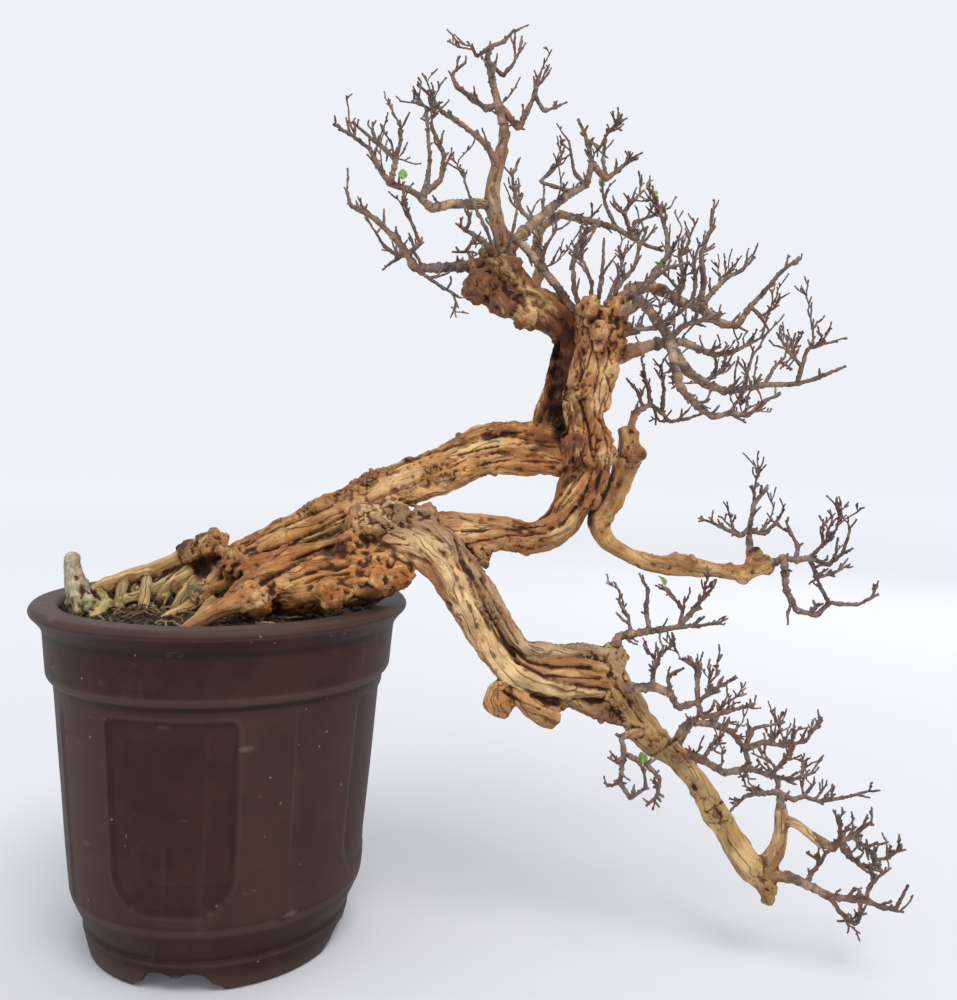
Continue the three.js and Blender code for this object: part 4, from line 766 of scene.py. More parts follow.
# Ringed knots, like small craters: across, down and radius on the picture
rings = [
    (432, 470, 5), (441, 465, 4), (449, 479, 6), (456, 472, 5), (436, 481, 4), (472, 462, 4), (480, 457, 4),
    (486, 468, 4), (335, 597, 8), (329, 589, 5), (341, 604, 5), (346, 593, 5), (261, 600, 9), (254, 609, 6),
    (271, 594, 6), (249, 594, 5), (279, 606, 6), (268, 611, 5), (362, 516, 6), (371, 526, 6), (354, 524, 5),
    (380, 512, 5), (392, 518, 6), (401, 526, 5), (345, 545, 6), (353, 536, 5), (343, 553, 5), (390, 577, 6),
    (397, 587, 5), (385, 591, 5), (403, 574, 5), (196, 555, 5), (205, 545, 6), (214, 552, 5), (226, 548, 5),
    (235, 560, 5), (243, 572, 5), (488, 286, 7), (480, 276, 5), (496, 297, 5), (503, 309, 5), (492, 263, 5),
    (515, 318, 5), (600, 316, 7), (612, 309, 6), (606, 330, 6), (593, 329, 4), (619, 343, 5), (588, 345, 5),
    (599, 350, 5), (576, 392, 5), (583, 455, 4), (574, 478, 5), (567, 491, 5), (585, 481, 4), (560, 505, 5),
    (577, 501, 5), (633, 431, 5), (640, 438, 4), (628, 447, 5), (638, 453, 6), (604, 519, 4), (611, 537, 4),
    (677, 556, 5), (690, 556, 4), (704, 559, 4), (740, 574, 5), (755, 557, 5), (616, 655, 5), (623, 674, 5),
    (612, 696, 5), (646, 742, 5), (718, 812, 6), (725, 820, 5), (711, 803, 4), (768, 889, 5), (487, 558, 5),
    (496, 566, 4), (502, 541, 5), (514, 547, 4), (527, 543, 4), (318, 501, 4), (345, 488, 4), (368, 479, 4),
    (385, 467, 4), (190, 548, 5),
]

# Long splits and folds, drawn on the picture: depth in mm (a rib where it is negative), half width in mm
splits = [
    (2.6, 1.6, [(262, 583), (285, 570), (310, 554), (332, 546), (350, 538)]),
    (1.8, 1.1, [(245, 545), (282, 526), (320, 512), (332, 506)]),
    (1.6, 1.0, [(275, 556), (310, 533), (346, 516)]),
    (1.4, 1.0, [(395, 466), (445, 448), (495, 436), (526, 431)]),
    (1.2, 0.8, [(458, 455), (490, 447), (522, 443), (556, 446)]),
    (1.1, 0.8, [(476, 466), (507, 460), (560, 464)]), (1.8, 1.1, [(290, 581), (320, 568), (347, 566)]),
    (1.4, 0.9, [(288, 588), (322, 576), (348, 573)]),
    (2.6, 1.4, [(455, 540), (467, 570), (477, 603), (497, 637), (519, 662)]),
    (1.6, 1.0, [(519, 662), (545, 676), (575, 678), (600, 678)]),
    (1.7, 1.0, [(470, 570), (487, 610), (507, 645), (529, 661), (552, 667), (590, 668)]),
    (1.4, 0.9, [(481, 578), (500, 613), (518, 643)]), (1.3, 0.9, [(462, 531), (500, 529), (545, 526)]),
    (1.3, 0.9, [(466, 545), (505, 536), (545, 533)]), (1.6, 1.0, [(555, 512), (573, 484), (587, 468)]),
    (1.5, 1.0, [(563, 524), (578, 505), (592, 482)]), (1.8, 1.1, [(578, 398), (589, 432), (592, 457)]),
    (2.2, 1.3, [(559, 340), (553, 375), (549, 400), (537, 424)]),
    (-1.8, 1.6, [(552, 342), (547, 372), (542, 398), (531, 424)]),
    (1.5, 1.0, [(567, 404), (575, 440), (572, 462)]), (1.4, 0.9, [(668, 742), (679, 752), (688, 762)]),
    (1.2, 0.9, [(628, 700), (634, 712), (642, 722)]), (1.2, 0.9, [(716, 806), (722, 816), (720, 826)]),
    (1.3, 0.9, [(610, 352), (604, 372), (612, 392)]), (1.2, 0.9, [(600, 420), (612, 440), (608, 470)]),
    (1.6, 1.0, [(504, 692), (520, 702), (540, 708)]),
    (1.4, 0.9, [(634, 760), (650, 757), (664, 749), (676, 739)]),
    (1.2, 0.8, [(628, 742), (638, 751), (650, 757)]), (1.2, 0.8, [(707, 812), (716, 807), (725, 800)]),
    (1.1, 0.7, [(707, 822), (717, 824), (728, 820)]),
    (1.5, 0.9, [(596, 352), (599, 372), (594, 396), (597, 420), (592, 436)]),
    (1.4, 0.9, [(582, 408), (584, 430), (580, 452), (584, 466)]),
    (1.3, 0.8, [(606, 404), (603, 428), (608, 450), (604, 470)]),
    (1.5, 0.9, [(592, 478), (585, 498), (572, 514)]), (1.3, 0.8, [(601, 472), (597, 494), (588, 512)]),
    (1.3, 0.8, [(614, 328), (607, 346), (613, 364)]), (1.3, 0.8, [(588, 330), (592, 350), (586, 368)]),
    (1.3, 0.8, [(578, 352), (581, 372), (577, 390)]),
]

# Places pushed in from the front: across, down, radius on the picture, depth in mm
hollows = [
    (560, 352, 10, 9), (559, 372, 11, 10), (558, 394, 12, 11), (556, 416, 13, 10), (562, 432, 10, 7),
    (202, 567, 12, 4), (214, 560, 8, 3), (346, 548, 8, 3), (330, 552, 7, 3),
]

# Painted places by kind: across, down, radius on the picture, strength, and the one limb that takes it if named
marks = {
    "bark": [(307, 507, 12, 0.8), (345, 488, 12, 0.9), (368, 478, 14, 1.0), (384, 468, 12, 0.8),
        (410, 454, 13, 0.8), (428, 445, 11, 0.8), (455, 439, 12, 0.5), (500, 425, 14, 0.5),
        (432, 471, 11, 0.7), (450, 478, 11, 0.6), (407, 494, 12, 0.6), (478, 463, 10, 0.6), (488, 471, 9, 0.6),
        (377, 520, 22, 0.5), (392, 512, 16, 0.5), (185, 542, 14, 0.6), (218, 535, 16, 0.5),
        (487, 560, 14, 0.5), (520, 546, 20, 0.35), (574, 462, 10, 0.6), (583, 440, 9, 0.5),
        (500, 262, 26, 0.35), (480, 280, 22, 0.35), (604, 330, 24, 0.3), (622, 352, 12, 0.5),
        (636, 453, 12, 0.4), (520, 610, 14, 0.5), (505, 580, 12, 0.5), (660, 742, 16, 0.35),
        (690, 790, 14, 0.3), (610, 715, 18, 0.5), (768, 890, 12, 0.4), (725, 566, 12, 0.4),
        (690, 562, 10, 0.4), (625, 655, 16, 0.3)],
    "bare": [(407, 478, 20, 0.8), (382, 494, 20, 0.8), (356, 504, 16, 0.7), (330, 512, 12, 0.5),
        (445, 490, 14, 0.7), (536, 308, 16, 0.9), (607, 370, 16, 0.8), (600, 402, 14, 0.8),
        (606, 456, 12, 0.7), (571, 397, 9, 0.7), (467, 597, 14, 0.8), (452, 570, 14, 0.6), (487, 640, 14, 0.8),
        (508, 668, 13, 0.7), (545, 686, 14, 0.6), (650, 728, 12, 0.4), (745, 858, 16, 0.6),
        (694, 773, 12, 0.5), (300, 586, 14, 0.5), (420, 548, 14, 0.4), (640, 556, 14, 0.5),
        (616, 530, 10, 0.4), (780, 838, 10, 0.5), (470, 444, 14, 0.3)],
    "olive": [(320, 533, 24, 0.7), (346, 526, 16, 0.6), (296, 545, 14, 0.4), (648, 742, 22, 0.5),
        (676, 770, 16, 0.4), (620, 700, 14, 0.3), (730, 838, 14, 0.4), (488, 262, 16, 0.4),
        (372, 566, 16, 0.4), (652, 742, 16, 0.4), (604, 312, 16, 0.4), (600, 510, 16, 0.4),
        (566, 494, 12, 0.4), (350, 540, 18, 0.4), (310, 590, 18, 0.3)],
    "rust": [(560, 452, 26, 0.9), (535, 462, 22, 0.7), (510, 452, 20, 0.4), (578, 452, 16, 0.7),
        (400, 575, 16, 0.35), (425, 572, 16, 0.7), (440, 590, 12, 0.6), (272, 608, 18, 0.6),
        (335, 596, 20, 0.7), (362, 600, 16, 0.6), (565, 670, 14, 0.12), (590, 668, 12, 0.1),
        (500, 702, 10, 0.3), (550, 718, 8, 0.4), (585, 440, 10, 0.5), (250, 560, 18, 0.4), (530, 322, 14, 0.5),
        (580, 326, 14, 0.5), (548, 372, 10, 0.6), (542, 400, 12, 0.6), (536, 422, 10, 0.5),
        (540, 440, 28, 0.8), (590, 480, 14, 0.45), (578, 502, 16, 0.45), (590, 424, 12, 0.5),
        (584, 386, 12, 0.4), (586, 392, 26, 0.35), (592, 440, 24, 0.4), (582, 490, 22, 0.35),
        (600, 330, 20, 0.3), (622, 390, 8, 0.3), (606, 354, 12, 0.4), (584, 350, 12, 0.35),
        (596, 460, 14, 0.4)],
    # The dark kind is painted shadow: the recess of the hollow trunk, crevices between ribs, the top of the
    # upper trunk's right end and the pocket under the roots.
    "paintedShadow": [(566, 316, 11, 0.6, "hollowTrunk"), (569, 332, 11, 0.8, "hollowTrunk"),
        (562, 342, 12, 0.7, "hollowTrunk"), (562, 360, 13, 0.75, "hollowTrunk"),
        (559, 384, 13, 0.8, "hollowTrunk"), (556, 410, 14, 1.0, "hollowTrunk"),
        (560, 430, 12, 0.9, "hollowTrunk"), (202, 567, 12, 0.9), (214, 560, 9, 0.7),
        (540, 436, 16, 0.3, "upperTrunk"), (560, 436, 14, 0.5, "upperTrunk"), (374, 606, 14, 0.8),
        (394, 606, 12, 0.8), (352, 614, 14, 0.8), (408, 598, 9, 0.7), (572, 420, 5, 0.5), (588, 468, 6, 0.5),
        (594, 488, 6, 0.4), (578, 436, 5, 0.4), (640, 757, 4, 0.4), (668, 745, 4, 0.4), (715, 815, 5, 0.45),
        (548, 404, 9, 0.35, "hollowTrunk"), (552, 380, 9, 0.45, "hollowTrunk"),
        (545, 420, 9, 0.4, "hollowTrunk"), (566, 396, 9, 0.6, "hollowTrunk"), (590, 400, 4, 0.35),
        (592, 420, 4, 0.4), (590, 444, 5, 0.35), (580, 468, 6, 0.45), (600, 472, 5, 0.3), (590, 322, 5, 0.4),
        (612, 330, 5, 0.4), (600, 342, 5, 0.35), (622, 318, 5, 0.4), (572, 480, 5, 0.4), (342, 549, 9, 0.8),
        (328, 553, 8, 0.7), (374, 600, 12, 0.6), (350, 612, 16, 0.6), (410, 592, 12, 0.4), (396, 600, 12, 0.6),
        (590, 522, 6, 0.6), (505, 330, 8, 0.2)],
    "grey": [(385, 530, 26, 0.6), (420, 525, 18, 0.6), (498, 600, 18, 0.6), (512, 625, 18, 0.6),
        (500, 535, 26, 0.4), (460, 535, 20, 0.4), (545, 375, 8, 0.5), (540, 398, 8, 0.5), (535, 655, 14, 0.4),
        (190, 544, 14, 0.4), (505, 215, 14, 0.5), (494, 180, 12, 0.6)],
    "moss": [(74, 580, 16, 0.2), (82, 608, 16, 0.5), (100, 602, 14, 0.45), (98, 618, 14, 0.5),
        (196, 592, 12, 0.7), (124, 598, 14, 0.2), (104, 600, 14, 0.35), (138, 606, 12, 0.2),
        (176, 600, 12, 0.25), (160, 588, 12, 0.2)],
}
# The near-black brown kind is painted shadow, laid on both as colour and as painted shade.
markLooks = {      # the colour of each kind and how much of it shows, laid on in this order
    "grey": ((152, 128, 104), 0.68), "olive": ((158, 122, 62), 0.68), "rust": ((160, 86, 40), 0.68),
    "bare": ((248, 211, 154), 0.85), "moss": ((156, 150, 88), 0.85), "paintedShadow": ((44, 24, 15), 0.85),
}

# Sprays of twigs: name, seed, twigs grown on it and their length in mm, then the stub that carries it, which is
# the end of a limb: from, to, two radii in mm. Each stem: the earlier stem and the point of it where it starts
# (none for the first), two radii in mm, then its line on the picture.
sprayRows = [
    ("apex", 11, 10, 17, (500, 156, 5), (504, 138, 4), (4.4, 3.6), [
        (None, None, 3.3, 0.8, [(503, 122, 2), (498, 105, 0), (492, 80, -4), (487, 60, -6), (491, 46, -8),
            (504, 42, -8), (515, 29, -10)]),
        (0, 4, 1.2, 0.6, [(477, 57, -8), (471, 47, -10)]),
        (0, 1, 2.2, 0.8, [(486, 109, 4), (470, 96, 8), (456, 86, 12), (452, 74, 14), (466, 62, 16)]),
        (0, 1, 2.4, 0.9, [(519, 128, 6), (527, 112, 8), (535, 95, 10), (540, 74, 12)]),
        (3, 2, 1.4, 0.7, [(544, 112, 12), (556, 107, 16), (567, 102, 18)]),
        (0, 3, 1.5, 0.7, [(503, 76, 6), (512, 66, 10), (520, 50, 12), (522, 36, 14)]),
    ]),
    ("crown_left", 23, 4, 15, (497, 166, 4), (489, 149, -4), (3.0, 2.4), [
        (None, None, 2.2, 0.8, [(477, 136, -10), (457, 121, -16), (442, 112, -20), (431, 96, -22),
            (417, 84, -24)]),
        (0, 3, 1.0, 0.7, [(434, 113, -24), (426, 106, -28)]),
    ]),
    ("left_high", 37, 12, 17, (494, 204, 6), (472, 204, 0), (4.2, 3.4), [
        (None, None, 3.3, 0.8, [(449, 204, -6), (431, 209, -10), (421, 197, -12), (408, 189, -14),
            (390, 184, -18), (378, 166, -22), (370, 149, -24), (350, 134, -28), (333, 124, -30)]),
        (0, 4, 2.0, 0.7, [(396, 160, -12), (376, 142, -10), (352, 122, -8)]),
        (1, 0, 1.3, 0.7, [(401, 140, -8), (400, 120, -6)]),
        (0, 2, 1.9, 0.7, [(427, 182, -4), (430, 160, 2), (428, 136, 6), (427, 112, 8)]),
        (0, 2, 1.9, 0.7, [(441, 180, -16), (444, 155, -20), (436, 136, -24), (430, 122, -26)]),
    ]),
    ("left_low", 41, 8, 16, (490, 264, 2), (462, 266, -4), (4.8, 3.9), [
        (None, None, 3.8, 0.8, [(440, 268, -8), (414, 268, -12), (408, 254, -14), (393, 236, -18),
            (374, 218, -22), (350, 205, -26), (346, 189, -28)]),
        (0, 2, 1.8, 0.7, [(398, 256, -4), (384, 246, 0), (374, 230, 4)]),
        (0, 2, 1.5, 0.6, [(420, 244, -20), (410, 218, -24), (402, 196, -28)]),
        (0, 1, 1.4, 0.8, [(440, 286, -14), (458, 296, -18)]),
    ]),
    ("inner_left", 53, 4, 13, (500, 258, 0), (484, 243, -16), (3.2, 2.2), [
        (None, None, 2.0, 0.8, [(475, 236, -20), (466, 230, -22), (460, 225, -24)]),
        (0, 1, 1.2, 0.6, [(470, 222, -30), (467, 206, -34)]),
        (0, 0, 1.2, 0.6, [(466, 252, -26), (452, 252, -28)]),
    ]),
    ("crown_right", 67, 10, 16, (508, 250, 8), (523, 233, 14), (5.0, 4.2), [
        (None, None, 4.0, 0.9, [(535, 222, 18), (553, 206, 22), (572, 192, 26), (586, 186, 28), (592, 164, 28),
            (587, 140, 28), (578, 119, 30)]),
        (0, 4, 2.4, 0.8, [(606, 179, 34), (619, 170, 38), (630, 158, 42)]),
        (1, 0, 1.4, 0.7, [(603, 160, 36), (606, 138, 36)]),
        (0, 2, 1.4, 0.7, [(540, 182, 20), (556, 166, 22), (562, 158, 24)]),
        (0, 5, 1.3, 0.7, [(600, 148, 22), (609, 130, 18)]),
        (0, 3, 1.5, 0.7, [(574, 172, 30), (569, 140, 34)]),
    ]),
    ("shoulder", 71, 12, 16, (528, 300, 14), (540, 272, 24), (5.2, 4.2), [
        (None, None, 4.0, 1.0, [(536, 250, 34), (540, 228, 42), (560, 214, 48), (580, 219, 50), (598, 223, 52),
            (616, 228, 54), (632, 238, 54), (648, 246, 54), (663, 251, 54)]),
        (0, 5, 1.5, 0.8, [(606, 206, 60), (602, 190, 64)]),
        (0, 6, 1.8, 0.8, [(624, 212, 48), (634, 200, 44), (644, 190, 42)]),
        (0, 6, 1.6, 0.7, [(634, 222, 62), (652, 216, 66), (664, 212, 68)]),
        (0, 1, 1.8, 0.7, [(522, 212, 50), (514, 190, 56), (511, 168, 60)]),
        (0, 4, 1.8, 0.8, [(582, 236, 44), (574, 256, 40), (570, 270, 38)]),
    ]),
    ("right_top", 83, 17, 15, (600, 326, 2), (630, 292, 22), (6.4, 4.8), [
        (None, None, 4.4, 0.9, [(648, 286, 28), (662, 290, 26), (676, 300, 22), (699, 308, 18), (722, 324, 14),
            (737, 326, 12), (750, 307, 10), (764, 292, 8), (781, 272, 6), (800, 257, 4)]),
        (0, 0, 2.6, 0.8, [(655, 272, 36), (668, 256, 40), (667, 234, 44), (660, 212, 46), (656, 196, 48)]),
        (0, 3, 2.2, 0.8, [(704, 282, 10), (701, 254, 6), (711, 230, 2), (712, 208, 0)]),
        (0, 3, 1.9, 0.8, [(716, 288, 26), (728, 277, 30), (742, 270, 32), (755, 257, 34)]),
        (0, 6, 1.2, 0.7, [(762, 316, 18), (774, 308, 24)]),
        (0, 2, 1.8, 0.8, [(684, 280, 14), (680, 258, 12), (690, 240, 10)]),
    ]),
    ("right_crossing", 97, 8, 13, (618, 318, -16), (636, 303, -26), (4.6, 3.8), [
        (None, None, 3.6, 0.8, [(646, 306, -30), (658, 322, -34), (670, 338, -38), (674, 363, -42),
            (681, 389, -44), (698, 407, -46), (713, 417, -48), (731, 413, -50), (748, 416, -52),
            (764, 401, -54), (780, 394, -56)]),
        (0, 2, 1.8, 0.8, [(686, 324, -46), (704, 320, -52), (722, 312, -56)]),
        (0, 7, 1.1, 0.7, [(736, 402, -42), (750, 398, -38)]),
    ]),
    ("right_low", 101, 15, 14, (608, 360, 2), (640, 349, 8), (6.4, 4.8), [
        (None, None, 4.4, 0.9, [(656, 344, 8), (668, 342, 6), (676, 354, 2), (688, 372, -4), (704, 383, -8),
            (724, 391, -10), (744, 389, -12), (764, 385, -14), (797, 384, -16), (818, 378, -18),
            (846, 366, -20)]),
        (0, 1, 2.8, 0.8, [(684, 342, 16), (700, 350, 22), (716, 355, 26), (732, 352, 28), (747, 345, 30),
            (763, 337, 32)]),
        (0, 8, 1.7, 0.7, [(802, 366, -22), (807, 349, -26), (820, 345, -30), (836, 341, -32)]),
        (0, 6, 1.5, 0.7, [(748, 370, -20), (754, 351, -24)]),
        (0, 7, 1.4, 0.7, [(774, 368, -6), (786, 356, -2)]),
        (0, 4, 1.5, 0.8, [(716, 374, 2), (730, 364, 8)]),
    ]),
    ("under_crown", 113, 4, 14, (628, 440, 12), (634, 416, 20), (3.2, 2.6), [
        (None, None, 2.4, 0.8, [(643, 408, 24), (650, 404, 28), (662, 413, 32), (669, 422, 34), (686, 419, 36),
            (702, 414, 38)]),
        (0, 0, 1.3, 0.7, [(638, 392, 28), (626, 378, 30)]),
        (0, 1, 1.4, 0.7, [(648, 388, 34), (643, 371, 38)]),
        (0, 2, 1.5, 0.7, [(664, 390, 26), (661, 364, 22)]),
    ]),
    ("middle", 127, 12, 14, (752, 566, -6), (771, 563, -8), (5.0, 3.2), [
        (None, None, 2.9, 0.8, [(784, 558, -10), (796, 560, -12), (809, 558, -14), (829, 565, -18),
            (843, 553, -22), (850, 530, -24)]),
        (0, 0, 2.4, 0.8, [(785, 574, -18), (786, 590, -22), (797, 611, -26), (818, 615, -28), (829, 603, -30),
            (857, 605, -32), (879, 594, -34)]),
        (0, 1, 1.5, 0.7, [(798, 546, -4), (790, 532, 0), (786, 520, 2)]),
        (0, 2, 1.4, 0.7, [(818, 577, -8), (834, 573, -4), (850, 564, -2)]),
        (0, 2, 1.3, 0.7, [(822, 546, -22), (834, 536, -26)]),
        (1, 4, 1.3, 0.7, [(822, 590, -36), (817, 578, -40)]),
    ]),
    ("middle_top", 131, 6, 12, (752, 562, -4), (750, 547, 0), (4.2, 3.0), [
        (None, None, 2.2, 0.8, [(749, 530, 2), (754, 504, 4), (762, 494, 6), (768, 485, 8)]),
        (0, 0, 1.7, 0.7, [(740, 536, -6), (720, 526, -10), (700, 518, -14)]),
        (0, 0, 1.7, 0.7, [(764, 534, 12), (775, 524, 18), (783, 511, 22)]),
    ]),
    ("elbow_high", 139, 9, 12, (610, 656, -18), (618, 639, -18), (4.4, 3.4), [
        (None, None, 3.0, 0.8, [(631, 634, -20), (650, 631, -24), (679, 627, -28), (690, 614, -32),
            (704, 597, -36), (714, 587, -38)]),
        (0, 0, 1.4, 0.7, [(628, 616, -14), (618, 599, -10)]),
        (0, 1, 1.6, 0.7, [(646, 612, -14), (648, 590, -8), (639, 573, -4)]),
        (0, 2, 1.4, 0.7, [(696, 626, -34), (722, 623, -38)]),
        (0, 2, 1.4, 0.7, [(683, 610, -18), (667, 588, -10)]),
    ]),
    ("elbow_low", 149, 12, 12, (614, 684, -24), (634, 688, -34), (4.2, 3.2), [
        (None, None, 2.8, 0.8, [(652, 686, -40), (670, 693, -42), (678, 708, -44), (698, 702, -46),
            (702, 718, -48), (726, 712, -50), (740, 708, -52), (753, 704, -54)]),
        (0, 0, 1.4, 0.7, [(654, 668, -48), (664, 645, -52)]),
        (0, 3, 1.6, 0.7, [(697, 674, -40), (690, 656, -36)]),
        (0, 3, 1.4, 0.7, [(713, 690, -52), (733, 679, -56)]),
        (0, 1, 1.3, 0.7, [(668, 676, -34), (684, 668, -30)]),
    ]),
    ("tail_high", 151, 12, 12, (672, 752, -24), (683, 731, -22), (4.6, 3.6), [
        (None, None, 3.0, 0.8, [(692, 722, -16), (714, 724, -12), (730, 731, -10), (745, 749, -8),
            (754, 728, -6), (785, 722, -4)]),
        (0, 3, 1.8, 0.8, [(764, 742, 2), (784, 746, 6), (806, 741, 8), (822, 717, 10)]),
        (0, 1, 1.4, 0.7, [(722, 706, 0), (738, 696, 6)]),
        (0, 3, 1.5, 0.8, [(750, 768, -12), (742, 778, -14)]),
    ]),
    ("tail_middle", 163, 9, 12, (676, 758, -32), (690, 756, -44), (3.6, 2.8), [
        (None, None, 2.6, 0.8, [(703, 760, -50), (724, 773, -54), (750, 768, -58), (771, 776, -62),
            (792, 780, -66), (812, 773, -70)]),
        (0, 3, 1.3, 0.7, [(782, 762, -74), (790, 752, -78)]),
        (0, 0, 1.2, 0.7, [(712, 744, -62), (722, 736, -66)]),
    ]),
    ("tail_left", 173, 6, 10, (640, 732, -32), (624, 736, -42), (3.4, 2.6), [
        (None, None, 2.2, 0.8, [(624, 754, -48), (620, 782, -52), (611, 786, -54)]),
        (0, 1, 1.5, 0.7, [(630, 798, -58), (646, 788, -62), (643, 766, -66)]),
        (0, 0, 1.6, 0.7, [(644, 762, -56), (660, 778, -60), (657, 797, -64), (646, 806, -68)]),
    ]),
    ("fork_top", 181, 7, 11, (781, 822, -38), (781, 803, -38), (4.0, 3.0), [
        (None, None, 2.4, 0.8, [(778, 792, -34), (778, 781, -30), (768, 770, -26)]),
        (0, 0, 1.7, 0.7, [(764, 793, -40), (745, 796, -46), (733, 808, -50)]),
        (0, 0, 1.8, 0.7, [(794, 800, -28), (804, 796, -24), (815, 782, -20)]),
        (2, 1, 1.3, 0.7, [(820, 802, -14), (842, 798, -10), (870, 791, -6)]),
    ]),
    ("fork_right", 193, 12, 11, (812, 836, -44), (829, 846, -48), (3.4, 2.8), [
        (None, None, 2.4, 0.8, [(840, 842, -50), (852, 836, -52), (862, 828, -54), (872, 822, -56)]),
        (0, 0, 1.8, 0.7, [(848, 856, -44), (862, 866, -40), (882, 872, -38)]),
        (0, 1, 1.4, 0.7, [(866, 848, -60), (878, 842, -64)]),
        (0, 0, 1.3, 0.7, [(840, 828, -58), (839, 816, -62)]),
        (1, 2, 1.2, 0.7, [(874, 860, -32), (890, 858, -28)]),
    ]),
    ("tip", 197, 7, 12, (764, 874, -38), (787, 877, -44), (4.8, 3.4), [
        (None, None, 3.0, 0.8, [(806, 884, -48), (830, 897, -52), (852, 899, -56), (866, 900, -58),
            (884, 908, -60), (896, 909, -62), (907, 887, -64)]),
        (0, 1, 1.5, 0.8, [(840, 912, -46), (854, 925, -42), (862, 910, -40)]),
        (0, 0, 1.6, 0.7, [(812, 872, -40), (822, 862, -36), (806, 852, -32)]),
        (0, 3, 1.3, 0.7, [(870, 884, -66), (884, 872, -70)]),
    ]),
]
sprayFields = ("name", "seed", "twigs", "length", "root", "tip", "thick", "stems")
sprays = [dict(zip(sprayFields, row)) for row in sprayRows]


def limbLine(name, marks, radii, look):      # a limb's middle line, with the directions square to it
    points, radius, along = smoothLine(marks, radii, lineStep)
    tangent, side, other = framesAlong(points)
    return {"name": name, "marks": marks, "radii": radii, "look": look, "points": points, "radius": radius,
            "along": along, "tangent": tangent, "side": side, "other": other}


def limbLines():      # the limbs, the stubs that carry the sprays, then what only the looks carry
    def drawn(limbs):
        return [limbLine(name, np.array([spot(*point[:3]) for point in points]),
                         [radius * reach(away) for _, _, away, radius in points], look)
                for name, (look, points) in limbs.items()]
    stubs = [limbLine("stub", np.array([spot(*spray["root"]), spot(*spray["tip"])]), spray["thick"], stubLook)
             for spray in sprays]
    return drawn(limbs) + stubs + drawn(extraLimbs)


# The wood's finish. Lengths are in mm, and core and strandOut are shares of a limb's radius.
wood = {"voxel": 1.05, "settle": 3, "core": 0.80, "strandOut": 0.50, "thinnest": 4.2, "lump": 1.7, "bump": 1.1,
        "fibre": 2.0, "crack": 0.9, "scale": 1.5, "knob": 1.7, "pit": 0.2, "barkKnobs": 300,
        "triangles": 192000, "seenFrom": -400, "seenTo": 120}


def addStrands(tubes, line, chance):
    count, twist = line["look"][:2]
    s, r = line["along"], line["radius"]
    if count < 2 or r.max() < wood["thinnest"]:
        waves = [size * np.sin(s * pace + chance.uniform(0, 6)) for size, pace in ((0.10, 0.55), (0.06, 1.3))]
        addTube(tubes, line["points"], r * (1 + waves[0] + waves[1]))
        return
    addTube(tubes, line["points"], r * wood["core"])
    for k in range(count):
        wave = [np.sin(s * chance.uniform(low, high) + chance.uniform(0, 6.28))
                for low, high in ((0.018, 0.04), (0.03, 0.07), (0.11, 0.2), (0.02, 0.05))]
        turn = 2 * math.pi * (k + chance.uniform(-0.2, 0.2)) / count + twist * s + 0.42 * wave[0]
        out = r * (wood["strandOut"] + 0.09 * wave[3])
        thick = r * (0.46 if count > 4 else 0.49) * (1 + 0.18 * wave[1] + 0.07 * wave[2])
        across = line["side"] * (np.cos(turn) * out)[:, None]
        addTube(tubes, line["points"] + across + line["other"] * (np.sin(turn) * out)[:, None], thick)


def nearestFace(body, across, down):      # depth of what shows at a place of the picture
    start, end = (toScene(spot(across, down, wood[key])) for key in ("seenFrom", "seenTo"))
    isHit, place, _, _ = body.ray_cast(tuple(start), tuple(end - start))
    return fromScene(np.array(place))[1] if isHit else None


def surfaceKnots(chance, body):
    points, sizes = [], []
    for across, down, spread, count, size in knots:
        for _ in range(count):
            turn, out = chance.uniform(0, 2 * math.pi), spread * math.sqrt(chance.uniform(0, 1))
            x, y = across + out * math.cos(turn), down + out * math.sin(turn)
            depth = nearestFace(body, x, y)
            if depth is not None:
                wide = size * chance.uniform(0.5, 1.0) * reach(depth)
                points.append(spot(x, y, depth + wide * 0.2))
                sizes.append(wide)
    return points, sizes


def surfaceRibs(chance, body):
    tubes = newTubes("trunk_ribs", 8)
    circles = []
    for across, down, radius in rings:
        turns = chance.uniform(0, 6.28) + np.linspace(0, 5.6, 9)
        flat = chance.uniform(0.7, 1.1)
        circle = [(across + radius * math.cos(t), down + flat * radius * math.sin(t)) for t in turns]
        circles.append((max(1.8, radius * 0.36), circle))
    for size, path in ribs + circles:
        flat, _, _ = smoothLine(np.array([(x, y, 0.0) for x, y in path]), [1.0] * len(path), 2.5)
        found = []
        for x, y, _ in flat:
            depth = nearestFace(body, x, y)
            if depth is not None and (not found or abs(depth - found[-1][2]) < 7):
                found.append((x, y, depth))
        if len(found) < 4:
            continue
        found = np.array(found)
        for _ in range(3):
            found[1:-1, 2] = 0.3 * found[:-2, 2] + 0.4 * found[1:-1, 2] + 0.3 * found[2:, 2]
        radii = 1.15 * size * reach(found[:, 2]) * (1 + 0.14 * chance.normal(size=len(found)).clip(-1.5, 1.5))
        ends = np.minimum(np.arange(len(found)), np.arange(len(found))[::-1])
        radii *= 0.55 + 0.45 * np.minimum(1, ends / 4)
        sink = min(0.8, 0.25 + 0.09 * max(0, size - 2.5))
        path = [spot(x, y, depth + r * sink) for (x, y, depth), r in zip(found, radii)]
        addTube(tubes, np.array(path), radii)
    return tubesToMesh(tubes)


